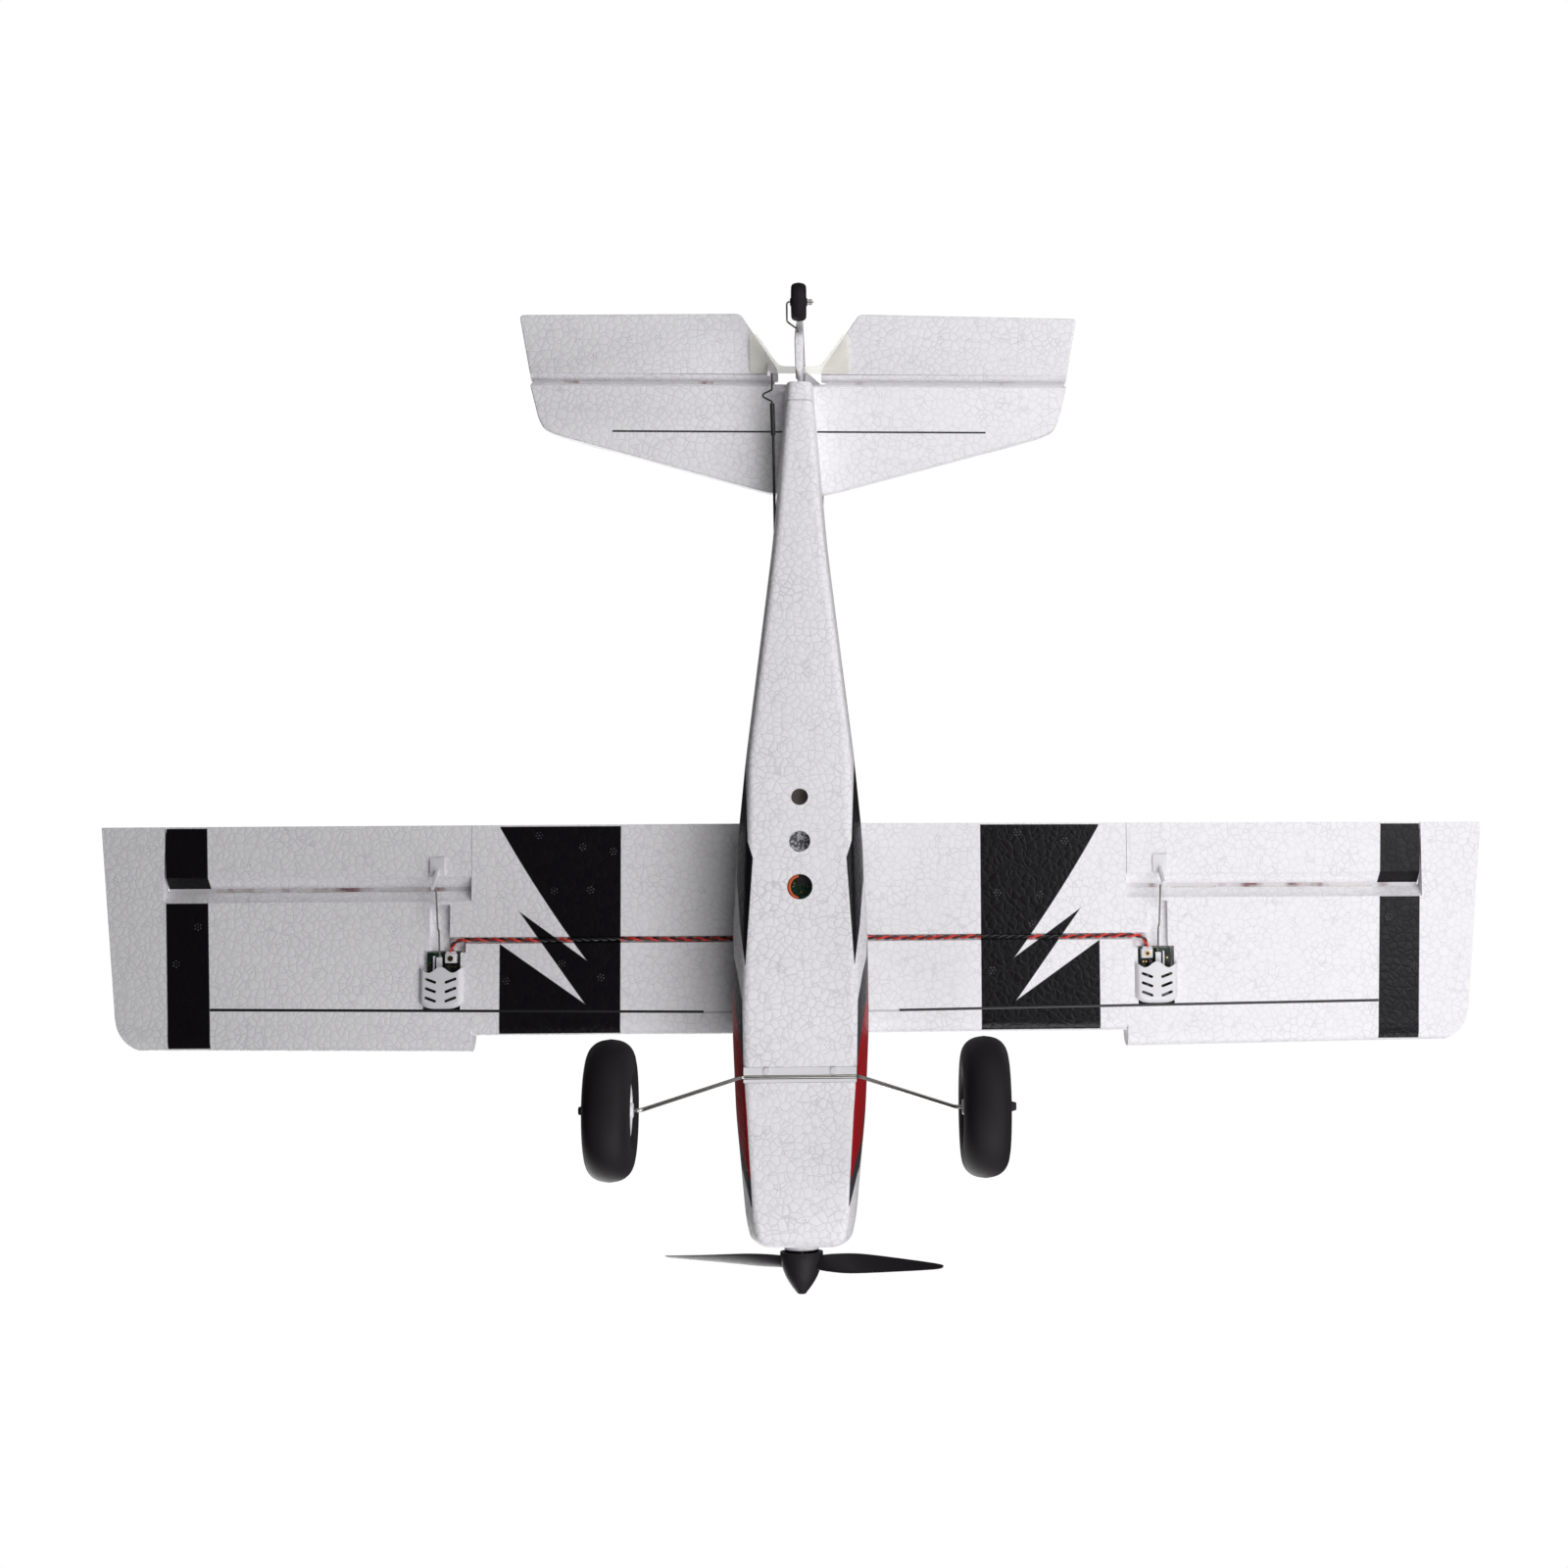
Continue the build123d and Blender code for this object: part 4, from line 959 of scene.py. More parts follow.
def hull(y, wall=0.0, low=None, high=None, ends=0.0):
    """The closed hull through stations y, drawn inward by a wall.

    Each station is eight corners, four mirrored to each side, whose places flow along Y as in
    eased. low and high stop it at two heights. ends rounds its first edge by shrinking the
    first stations along a quarter circle."""
    y = np.asarray(y, float)
    belly, side, top, z0, z1 = (eased(y, HULL[:, k]) for k in range(1, 6))
    belly, side, top = belly - 0.9 * wall, side - wall, top - 0.9 * wall
    z0, z1 = z0 + wall, z1 - wall
    floor = eased(y, HULL[:, 4])
    flare = floor + FLARE_TOP * np.minimum(1, (SPLIT_Z - floor) / FLARE_ROOM)
    if low is not None:
        z0 = np.full_like(y, low)
        belly, flare = side, z0 + 2
    if high is not None:
        z1 = np.full_like(y, high)
        top = side
    shoulder = np.minimum(SPLIT_Z, z1 - 1)
    left = [(belly, z0), (side, flare), (side, shoulder), (top, z1)]
    corners = [(-x, z) for x, z in left[::-1]] + left
    corners = np.stack([np.stack(pair, -1) for pair in corners], 1)
    corner_round = CORNER_R * (1.0 if wall == 0 else 0.5)
    radii = np.concatenate([corner_round[::-1], corner_round])
    section = rounded(corners, np.broadcast_to(radii, corners.shape[:-1]), 7)
    if ends:
        gone = np.clip((y - y[0]) / ends, 0, 1)
        inset = ends * (1 - np.sqrt(np.clip(1 - (1 - gone) ** 2, 0, 1)))
        middle = section.mean(1, keepdims=True)
        half = np.abs(section - middle).max(1, keepdims=True)
        section = middle + (section - middle) * (1 - inset[:, None, None] / half)
    points = np.stack(
        [section[..., 0], np.broadcast_to(y[:, None], section.shape[:-1]), section[..., 1]], -1
    )
    return points, tube_skin(*section.shape[:2])


def stations(y0, y1, step=3.0):
    """Values of Y from one end to the other, evenly spaced, at most a step apart."""
    return np.linspace(y0, y1, int(abs(y1 - y0) / step) + 2)


def nose_stations():
    """Close together over the rounded front edge, then evenly spaced to the tail."""
    share = 1 - np.cos(np.linspace(0, math.pi / 2, 9))
    rest = stations(NOSE_Y + NOSE_ROUND, TAIL_END_Y)[1:]
    return np.concatenate([NOSE_Y + NOSE_ROUND * share, rest])


# %% [markdown]
# Cutting is a Boolean modifier that is applied at once: the exact solver leaves a clean closed
# mesh, and the tool is thrown away.


# %% Cutting tools
def carve(piece, *tools):
    """Take the tools away from a piece, one after another."""
    for points, faces in tools:
        tool = linked("tool", mesh_of("tool", points, faces))
        cut = piece.modifiers.new("cut", "BOOLEAN")
        cut.operation = "DIFFERENCE"
        cut.solver = "EXACT"
        cut.object = tool
        depsgraph = bpy.context.evaluated_depsgraph_get()
        result = bpy.data.meshes.new_from_object(piece.evaluated_get(depsgraph))
        piece.modifiers.clear()
        old = piece.data
        piece.data = result
        bpy.data.meshes.remove(old)
        spent = tool.data
        bpy.data.objects.remove(tool)
        bpy.data.meshes.remove(spent)
    tidy_mesh(piece.data, 38.0, 2e-6)
    return piece


def peg(centre, direction, radius, half_length, around=40):
    """A round cutting peg."""
    centre, direction = np.array(centre, float), np.array(direction, float)
    ends = [centre - direction * half_length, centre + direction * half_length]
    return tube(ends, radius, around)


def slab(y0, y1, z0, z1):
    """A cutting block that is wider than the hull."""
    return box_of(-60, 60, y0, y1, z0, z1)


def rod_run(ends):
    """The passage of one pushrod."""
    return tube(ends, 1.3, 16)


GEAR_Y = -109.0
BELLY_HOLES = ((8.9, 3.6), (-10.0, 4.5), (-29.2, 5.4))
RUDDER_RUN = ((8.2, -12, 16), (11.5, 170, 19.3))
ELEVATOR_RUN = ((-7.2, -12, 21), (-10.3, 174, 39.7))
whole = hull(nose_stations(), ends=NOSE_ROUND)

# %% [markdown]
# The tub keeps everything under the split, and the whole nose. Its bay is the same hull drawn
# inward by the wall. The boss in front of the nose is the seat of the propeller.

# %% The tub
tub = named(*whole, "fuselage_tub_skin", foam_body)
tub_bay = hull(stations(BAY_FRONT_Y, 138.0), wall=WALL, high=SPLIT_Z + 3)
gear_slot = box_of(-23.9, 23.9, GEAR_Y - 2.4, GEAR_Y + 4.2, -4, 3.6)
wire_slot = box_of(-27, 27, GEAR_Y - 1.6, GEAR_Y + 1.0, -4, 2.2)
carve(tub, slab(BAY_FRONT_Y, 300, SPLIT_Z, 90), tub_bay, gear_slot, wire_slot)
carve(tub, *[peg((0, y, 0), (0, 0, 1), radius, 9) for y, radius in BELLY_HOLES])
motor_room = peg((0, -170, THRUST_Z), (0, 1, 0), 10.6, 7.5)
carve(tub, motor_room, peg((0, -180, THRUST_Z), (0, 1, 0), 2.6, 8))
carve(tub, rod_run(RUDDER_RUN))
carve(tub, rod_run(ELEVATOR_RUN))
settle(tub, "airframe", ("fuselage_tub",))

boss = [(-1.5, 2.6), (2.6, 2.6), (3.0, 3.2), (3.0, 6.8), (2.6, 7.4), (1.6, 7.7), (-1.5, 8.0)]
points, faces = along_y(boss, 48)
add_piece("nose_boss", points + [0, NOSE_Y, THRUST_Z], faces, "airframe", foam_body, "foam_white")
print("tub", len(tub.data.polygons), "faces")

# %% [markdown]
# The deck is glued to the tub behind the battery bay, with a seat for the wing in its top. The
# hatch closes the bay. Both come from the same hull, cut a hair above the split, so that their
# sides run on from the tub's. Two pockets in the hatch's rear hold its magnets.

# %% The deck and the hatch
deck = named(*whole, "fuselage_deck_skin", foam_body)
carve(deck, slab(-300, 300, -60, SPLIT_Z + 0.12))
carve(deck, slab(-300, SADDLE_FRONT_Y, 0, 90), slab(DECK_END_Y, 300, 0, 90))
deck_room = hull(stations(SADDLE_FRONT_Y + WALL, 130.0), wall=WALL, low=SPLIT_Z - 4)
carve(deck, deck_room, slab(SADDLE_FRONT_Y - 0.7, 0.4, 42.0, 90))
carve(deck, rod_run(ELEVATOR_RUN))
settle(deck, "airframe", ("fuselage_deck",))

hatch = named(*whole, "canopy_hatch_skin", foam_body)
carve(hatch, slab(-300, 300, -60, SPLIT_Z + 0.2))
carve(hatch, slab(-300, BAY_FRONT_Y + 0.3, 0, 90))
carve(hatch, slab(SADDLE_FRONT_Y - 0.9, 300, 0, 90))
hatch_room = stations(BAY_FRONT_Y + WALL, SADDLE_FRONT_Y - WALL - 1)
carve(hatch, hull(hatch_room, wall=WALL, low=SPLIT_Z - 4))
for side in (-1, 1):
    carve(hatch, peg((side * 17, SADDLE_FRONT_Y - 3.1, 30), (0, 0, 1), 2.05, 3.3, 24))
settle(hatch, "hatch", ("canopy_hatch",))
print("deck and hatch", len(deck.data.polygons), len(hatch.data.polygons), "faces")

# %% [markdown]
# The tail is cut from sheet foam. A plate is its outline carried round a small edge radius: each
# ring is the outline drawn inward by r(1 - cos a) at height r sin a, and two flat caps close it.
# A last function bends the plate: bevelled hinge edges, a thinner trailing edge.


# %% Tail plates
def plate(outline, z0, z1, edge=0.9, corner=2.5, steps=5):
    """A rounded outline in X and Y between two heights, with rounded edges."""
    outline = np.asarray(outline, float)
    if np.sum(np.cross(outline, np.roll(outline, -1, 0))) < 0:
        outline = outline[::-1]
    radii = np.broadcast_to(corner, len(outline))
    ring = rounded(outline, radii, 6)
    ahead = np.roll(ring, -1, 0) - ring
    ahead /= np.maximum(np.linalg.norm(ahead, axis=1, keepdims=True), 1e-9)
    normal = np.stack([ahead[:, 1], -ahead[:, 0]], -1)
    normal = normal + np.roll(normal, 1, 0)
    normal /= np.linalg.norm(normal, axis=1, keepdims=True)
    quarter = np.linspace(0, math.pi / 2, steps)
    inset = np.concatenate([edge * (1 - np.sin(quarter)), edge * (1 - np.cos(quarter))])
    height = np.concatenate([z0 + edge * (1 - np.cos(quarter)), z1 - edge * (1 - np.sin(quarter))])
    flat = ring[None] - normal[None] * inset[:, None, None]
    tall = np.broadcast_to(height[:, None, None], (*flat.shape[:2], 1))
    points = np.concatenate([flat, tall], -1)
    return points.reshape(-1, 3), tube_skin(len(inset), len(ring))


STAB_LOW, STAB_HIGH = 30.0, 35.0
ELEVATOR_Y = 196.0
HINGE_GAP = 0.15
BEVEL = 2.7


def mirror_x(outline):
    """The same corners on the right side, in the order that carries the outline on."""
    return [(-x, y) for x, y in outline[::-1]]


def bevel_shift(points, near):
    """How far a hinge edge is drawn back: the full bevel at the lower face, none at the upper."""
    return near * BEVEL * (STAB_HIGH - points[:, 2]) / (STAB_HIGH - STAB_LOW)


def thinning(y):
    """The elevator's depth as a share of its front depth, falling towards the trailing edge."""
    return 1 - 0.62 * np.clip((y - 199.0) / 28.0, 0, 1)


def stabilizer():
    """The fixed plate, its rear edge drawn away from the hinge line at the lower face."""
    half = [(11.4, 145.0), (108.0, 171.5), (114.5, 175.5), (118.8, ELEVATOR_Y - HINGE_GAP)]
    corners = np.array([6.0, 7.0, 7.0, 0.4])
    corners = np.r_[corners, corners[::-1]]
    points, faces = plate(half + mirror_x(half), STAB_LOW, STAB_HIGH, 0.7, corners)
    near = np.clip((points[:, 1] - (ELEVATOR_Y - 2.2)) / 2.0, 0, 1)
    points[:, 1] -= bevel_shift(points, near)
    return points, faces


def elevator():
    """A plate that thins towards its trailing edge, with a bevelled front and a slanted root."""
    outline = [
        (9.6, ELEVATOR_Y + HINGE_GAP),
        (118.8, ELEVATOR_Y + HINGE_GAP),
        (124.0, 225.9),
        (26.5, 227.2),
        (9.6, 201.0),
    ]
    points, faces = plate(outline, STAB_LOW, STAB_HIGH, 0.7, np.array([0.4, 0.4, 2.2, 2.2, 3.0]))
    depth = (STAB_HIGH - points[:, 2]) * thinning(points[:, 1])
    near = np.clip((ELEVATOR_Y + 2.4 - points[:, 1]) / 2.0, 0, 1)
    points[:, 1] += bevel_shift(points, near)
    points[:, 2] = STAB_HIGH - depth
    return points, faces


add_piece("stabilizer_plate", *stabilizer(), "airframe", foam_tail, "foam_white", ("stabilizer",))
for name, side in SIDES:
    points, faces = elevator()
    add_piece(name + "_elevator_plate", points * [side, 1, 1], faces, "elevator", foam_tail,
              "foam_white", (name + "_elevator",))

RUDDER_Y = 194.0
FIN_TOP = 106.0
FIN_THICK = 4.6


def upright(points):
    """A plate drawn in Y and Z stands on edge: its height becomes X."""
    return np.stack([points[:, 2], points[:, 0], points[:, 1]], -1)


def rudder():
    """The rudder's plate, thinner aft, with its front edge brought to a wedge."""
    front = RUDDER_Y + 0.4
    outline = [
        (front, FIN_TOP), (front, 37.0), (206.8, 36.2), (206.8, 26.2), (front + 1.2, 26.2),
        (front, 25.4), (front, 9.0), (211.0, 9.0), (216.0, 17.0), (230.5, 46.0), (230.5, 88.0),
        (222.0, FIN_TOP),
    ]
    corner = np.array([1.5, 0.4, 0.6, 0.6, 0.4, 0.4, 1.5, 2.0, 6.0, 9.0, 8.0, 7.0])
    points, faces = plate(outline, -FIN_THICK / 2, FIN_THICK / 2, 0.7, corner)
    near = np.clip((front + 2.4 - points[:, 0]) / 2.4, 0, 1)
    aft = np.clip((points[:, 0] - 199.0) / 32.0, 0, 1)
    points[:, 2] *= (1 - 0.86 * near) * (1 - 0.5 * aft)
    return upright(points), faces


def fin():
    """The fixed fin, standing on the tailplane, with a slanted front edge."""
    base, rear = STAB_HIGH + 0.02, RUDDER_Y - 0.3
    outline = [(146.0, base), (rear, base), (rear, FIN_TOP), (184.0, FIN_TOP), (178.0, 101.0)]
    corner = np.array([0.5, 0.5, 0.8, 3.0, 5.0])
    points, faces = plate(outline, -FIN_THICK / 2, FIN_THICK / 2, 0.8, corner)
    return upright(points), faces


add_piece("fin_plate", *fin(), "airframe", foam_fin, "foam_white", ("fin",))
add_piece("rudder_plate", *rudder(), "rudder", foam_fin, "foam_white", ("rudder",))
print("tail plates made")

# %% [markdown]
# The wheels are fat foam-rubber tyres on moulded hubs. Both are solids of revolution. The tyre's
# section is a superellipse, |x/a|^n + |y/b|^n = 1, rounder than a box and fuller than an oval.
# The hub is dished on both faces, with six ribs from its boss to its rim.

# %% Wheels
AXLE = np.array([74.4, -118.9, -43.8])
TAIL_AXLE = np.array([0.0, 224.7, 7.0])
HUB_HALF = 7.8
RIB_COUNT = 6
TYRE_SHARP, HUB_SHARP = 60, 40


def tyre_section(half_width, outer, inner, power, count=40):
    """The closed section of a tyre, as (distance along the axle, radius)."""
    t = np.linspace(0, 2 * math.pi, count, endpoint=False)
    middle, half = (outer + inner) / 2, (outer - inner) / 2
    across = half_width * np.sign(np.cos(t)) * np.abs(np.cos(t)) ** (2 / power)
    radius = middle + half * np.sign(np.sin(t)) * np.abs(np.sin(t)) ** (2 / power)
    parting = 0.16 * np.exp(-((across / 0.35) ** 2)) * (radius > middle)
    return np.stack([across, radius - 0.16 + parting], -1)


def hub_section(half, rim, bore):
    """Boss, dish, and rim lip, the same on both faces."""
    face = [(1.2, bore), (1.2, 2.7), (0.9, 3.0), (-2.2, 3.5), (-3.0, 4.6)]
    face += [(-3.1, 7.6), (-2.2, 8.6), (-0.4, 9.0), (0.0, 9.4), (-0.1, rim)]
    face = np.array(face) + [half, 0]
    return np.concatenate([face, face[::-1] * [-1, 1]])


def ribs(half):
    """Low radial ribs standing in each dish."""
    parts = []
    for face in (1, -1):
        for index in range(RIB_COUNT):
            angle = 2 * math.pi * (index + 0.25) / RIB_COUNT
            points, faces = box_of(half - 3.3, half - 1.5, 2.9, 9.0, -0.45, 0.45)
            points = points * [face, 1, 1]
            y = points[:, 1] * math.cos(angle) - points[:, 2] * math.sin(angle)
            z = points[:, 1] * math.sin(angle) + points[:, 2] * math.cos(angle)
            parts.append((np.stack([points[:, 0], y, z], -1), faces))
    return parts


for name, side in SIDES:
    body = name + "_wheel"
    centre = AXLE * [side, 1, 1]
    points, faces = ring_of(tyre_section(9.4, 28.2, 10.3, 2.35))
    add_piece(name + "_tyre_round", points + centre, faces, body, tyre_rubber, "tyre",
              (name + "_tyre",), TYRE_SHARP)
    points, faces = merged(ring_of(hub_section(HUB_HALF, 10.7, 0.86), 72), *ribs(HUB_HALF))
    add_piece(name + "_hub_dish", points + centre, faces, body, white_plastic, "white_plastic",
              (name + "_hub",), HUB_SHARP)
points, faces = ring_of(tyre_section(3.3, 8.3, 3.7, 2.6), 64)
add_piece("tail_tyre_round", points + TAIL_AXLE, faces, "tail_wheel", tyre_rubber, "tyre",
          ("tail_wheel_tyre",), TYRE_SHARP)
tail_hub = np.array([(3.8, 0.46), (3.8, 1.5), (3.3, 1.8), (3.0, 3.2), (3.3, 3.6), (3.1, 4.0)])
tail_hub = np.concatenate([tail_hub, tail_hub[::-1] * [-1, 1]])
points, faces = ring_of(tail_hub, 48)
add_piece("tail_hub_dish", points + TAIL_AXLE, faces, "tail_wheel", black_plastic,
          "black_plastic", ("tail_wheel_hub",), HUB_SHARP)
print("wheels made")

# %% [markdown]
# The propeller is two twisted blades. At each reach from the hub the blade has a chord, a twist
# and a thickness, and its section is an oval fuller at its leading edge, with a little camber.
# The spinner is a turned ogive with a small flat at its tip.

# %% Propeller and spinner
PROP_TURN = math.radians(-20.0)
BLADE_AROUND = 36
SPINNER_Y = -184.8
BLADE = np.array(
    [
        # reach, chord, twist in degrees, thickness
        (2.0, 7.5, 42, 4.4),
        (8.0, 8.2, 38, 3.6),
        (14.0, 11.0, 34, 2.5),
        (24.0, 14.2, 27, 1.9),
        (36.0, 13.6, 21, 1.6),
        (50.0, 10.4, 16, 1.3),
        (58.0, 7.6, 13, 1.0),
        (62.0, 5.0, 12, 0.8),
        (63.4, 2.4, 12, 0.5),
    ]
)


def blade(flip):
    """One blade along X: chord/2 cos t wide, thickness/2 sin t tall, turned by the twist."""
    rows = smooth_path(BLADE, 5)
    reach, chord, twist, thick = (rows[:, k][:, None] for k in range(4))
    twist = np.radians(twist)
    t = np.linspace(0, 2 * math.pi, BLADE_AROUND, endpoint=False)[None]
    wide = chord / 2 * np.cos(t)
    tall = thick / 2 * np.sin(t) * (1 + 0.35 * np.cos(t)) + 0.035 * chord * (1 - np.cos(t) ** 2)
    z = wide * np.cos(twist) - tall * np.sin(twist)
    y = -wide * np.sin(twist) - tall * np.cos(twist)
    points = np.stack([np.broadcast_to(reach, z.shape), y, z], -1)
    if flip:
        points = points * [-1, 1, -1]
    return points.reshape(-1, 3), tube_skin(len(rows), BLADE_AROUND)


def about_y(points, angle):
    """Turned about the Y axis: x' = x cos a + z sin a, z' = z cos a - x sin a."""
    x = points[:, 0] * math.cos(angle) + points[:, 2] * math.sin(angle)
    z = -points[:, 0] * math.sin(angle) + points[:, 2] * math.cos(angle)
    return np.stack([x, points[:, 1], z], -1)


boss = np.array([(2.6, 1.0), (2.6, 4.0), (2.2, 4.4), (-2.8, 4.4), (-3.2, 4.0), (-3.2, 1.0)])
points, faces = merged(blade(False), blade(True), along_y(boss, 48))
add_piece("propeller_blades", about_y(points, PROP_TURN) + PROP_AT, faces, "propeller",
          black_plastic, "black_plastic", ("propeller",), HUB_SHARP)
ogive = smooth_path([(0, 9.2), (2.6, 9.1), (6.4, 8.3), (10.8, 6.6), (14.4, 4.4), (17.0, 2.4)], 7)
ogive = np.concatenate([[(0.0, 7.4), (0.0, 8.9)], ogive, [(17.7, 1.9), (17.9, 1.5), (17.9, 0.02)]])
inside = np.array([(15.5, 0.02), (13.0, 3.4), (8.0, 6.2), (3.0, 7.3)])
points, faces = along_y(np.concatenate([ogive, inside]))
add_piece("spinner_ogive", points + [0, SPINNER_Y, THRUST_Z], faces, "propeller", black_plastic,
          "black_plastic", ("spinner",), HUB_SHARP)
print("propeller made")

# %% [markdown]
# Each aileron has a tiny linear servo let into the wing. A white moulded cover with three pairs
# of slanted louvres hides its motor, and its rear edge is scalloped, which leaves the board,
# the white connector and the slider in view. The cover is a shell over two parameters: across
# and along. It is thickened, and the louvres are cut with small rounded pegs.

# %% Servo covers
SERVO_X = 158.0
COVER_HALF = 9.6
COVER_GRID = (25, 49)
COVER_THICK = 0.55
LOUVRE_ROWS = (-68.2, -72.3, -76.4)
LOUVRE_X, LOUVRE_SLANT = 4.4, 0.36


def cover_shell(rows, columns):
    """Across u in -1..1 and along v in 0..1; height falls to a flange at the sides and front."""
    u = np.linspace(-1, 1, columns)[None]
    v = np.linspace(0, 1, rows)[:, None]
    rear = -63.5 + 1.3 * np.cos(2 * math.pi * u / 1.1)
    front = -80.6 + 2.8 * np.abs(u) ** 4
    y = rear + (front - rear) * v
    x = SERVO_X + COVER_HALF * u + 0 * v
    side = np.clip((1 - np.abs(u)) / 0.22, 0, 1)
    lead = np.clip((1 - v) / 0.16, 0, 1)
    swell = (1 - (1 - side) ** 2.2) * (1 - (1 - lead) ** 2.2)
    z = -0.12 - 2.25 * swell * (0.82 + 0.18 * (1 - u**2))
    return np.stack([x, y, z], -1).reshape(-1, 3), skin(rows, columns, wrap_columns=False)


def thickened(points, faces, rows, columns, thickness):
    """A second sheet under the first, and a wall round the edge."""
    under = points + [0, 0, thickness]
    count = len(points)
    grid = np.arange(count).reshape(rows, columns)
    rim = np.concatenate([grid[0, :-1], grid[:-1, -1], grid[-1, :0:-1], grid[:0:-1, 0]])
    after = np.roll(rim, -1)
    wall = np.stack([rim, after, after + count, rim + count], -1).tolist()
    flipped = [[index + count for index in face[::-1]] for face in faces]
    return np.concatenate([points, under]), faces + flipped + wall


def louvre(x, y, slant):
    """A rounded slot, 5.4 by 1.25, turned by its slant."""
    long, wide = 2.7, 0.62
    c, s = math.cos(slant), math.sin(slant)
    corners = [(-long, -wide), (long, -wide), (long, wide), (-long, wide)]
    outline = [(x + a * c - b * s, y + a * s + b * c) for a, b in corners]
    return plate(outline, -5.0, 2.5, 0.05, 0.6, 2)


for name, side in SIDES:
    points, faces = thickened(*cover_shell(*COVER_GRID), *COVER_GRID, COVER_THICK)
    cover = named(lift_wing(points, side), faces, name + "_cover_shell", white_plastic)
    for y in LOUVRE_ROWS:
        for half in (-1, 1):
            points, faces = louvre(SERVO_X + half * LOUVRE_X, y, half * LOUVRE_SLANT)
            carve(cover, (lift_wing(points, side), faces))
    settle(cover, "airframe", (name + "_servo_cover",))
print("servo covers made")

# %% [markdown]
# Behind the cover's scalloped edge the board shows a white plug with a gold eye, the rails of
# the lead screw, some pins and small black chips. Each is a block or a peg with rounded edges.

# %% Servo boards and connectors
PLUG_AT = (154.3, -58.6)


def rounded_block(x0, x1, y0, y1, z0, z1, edge=0.25, corner=0.3):
    """A block with rounded edges and corners."""
    return plate([(x0, y0), (x1, y0), (x1, y1), (x0, y1)], z0, z1, edge, corner, 3)


def pin(x, y, z0, z1, radius):
    """An upright peg."""
    return tube([(x, y, z0), (x, y, z1)], radius, 16)


def wing_piece(name, side, parts, material, slot=None, stands_for=(), body="airframe"):
    """Parts drawn on the flat left wing, joined, lifted to the wing and mirrored for side -1."""
    points, faces = merged(*parts)
    add_piece(name, lift_wing(points, side), faces, body, material, slot, stands_for)


for name, side in SIDES:
    plug = [
        rounded_block(151.6, 156.7, -60.6, -56.4, 0.5, 3.9),
        rounded_block(152.2, 156.4, -56.5, -55.4, 1.0, 3.4, 0.2),
        rounded_block(161.25, 162.0, -64.5, -57.4, 0.7, 3.9, 0.2),
    ]
    wing_piece(name + "_connector", side, plug, white_plastic, "white_plastic",
               (name + "_servo_lead",))
    eye = ring_of(np.array([(0.0, 0.75), (0.25, 0.75), (0.25, 1.25), (0.0, 1.25)]), 32)
    eye = (eye[0][:, [1, 2, 0]] * [1, 1, -1] + [*PLUG_AT, 0.55], eye[1])
    studs = [pin(152.6 + 1.3 * k, -62.2, 1.9, 4.0, 0.36) for k in range(3)]
    studs += [pin(159.2, -56.9, 2.4, 4.0, 0.5), pin(163.6, -60.5, 2.9, 4.0, 0.42)]
    wing_piece(name + "_servo_pins", side, [eye, *studs], gold_pin)
    chips = [
        rounded_block(162.4, 164.6, -64.2, -61.6, 2.9, 4.1, 0.15),
        rounded_block(151.2, 153.0, -63.6, -61.3, 2.6, 4.1, 0.15),
        rounded_block(154.6, 156.7, -64.2, -61.2, 1.5, 4.1, 0.3),
        pin(*PLUG_AT, 0.42, 0.9, 0.74),
        rounded_block(162.6, 164.2, -59.4, -57.2, 3.2, 4.1, 0.12),
    ]
    wing_piece(name + "_servo_chips", side, chips, dark_part)
print("servo boards made")

# %% [markdown]
# The servo's lead is a twisted red and black pair in a groove. Each wire is a circle carried
# along a helix round the route: route + r(cos a, sin a), where a grows with the length covered.
# Where the lead crosses the black panel it was painted over with the wing, so its finish takes
# the same mask.

# %% Servo leads
LEAD_ROUTE = [
    (154.0, -55.6, 1.5), (153.9, -53.8, 0.9), (152.2, -51.6, 0.4), (149.0, -50.5, 0.15),
    (140.0, -50.4, 0.1), (112.0, -50.8, 0.1), (80.0, -50.4, 0.1), (52.0, -50.8, 0.1),
    (28.5, -50.5, 0.1),
]
TWIST_LENGTH = 7.5
TWIST_R = 0.46
WIRE_R = 0.5


def painted_wire(name, colour):
    """Wire covering, with the wing's black paint where the panel crosses it."""
    g = Graph(name)
    x, y, z = g.datum()
    tone = g.mix(g.noise(300.0), colour, tuple(channel * 0.6 for channel in colour))
    made = g.mix(spear_panel(g, x, y, z), tone, PAINT_BLACK)
    return g.finish(made, 0.42, g.bump(g.noise(1200.0), 0.00003, 0.5))


lead_red = painted_wire("lead_red", (0.78, 0.035, 0.022))
lead_black = painted_wire("lead_black", (0.085, 0.014, 0.016))
route = smooth_path(LEAD_ROUTE, 40)
covered = np.r_[0, np.cumsum(np.linalg.norm(np.diff(route, axis=0), axis=1))]
even = np.linspace(0, covered[-1], 420)
route = np.stack([np.interp(even, covered, route[:, k]) for k in range(3)], -1)
across, up = frames_along(route)
for name, side in SIDES:
    for colour, start, material in (("red", 0.0, lead_red), ("black", math.pi, lead_black)):
        angle = start + 2 * math.pi * even / TWIST_LENGTH
        helix = route + TWIST_R * (np.cos(angle)[:, None] * across + np.sin(angle)[:, None] * up)
        wing_piece(name + "_lead_" + colour, side, [tube(helix, WIRE_R, 10)], material, "lead")
print("lead length in mm", round(float(covered[-1]), 1))

# %% [markdown]
# The mould's steam vents leave small flowers of raised dots all over the skin. Each flower is a
# ring of six dots round a seventh, and each dot a low six-sided dome, so hundreds cost little.

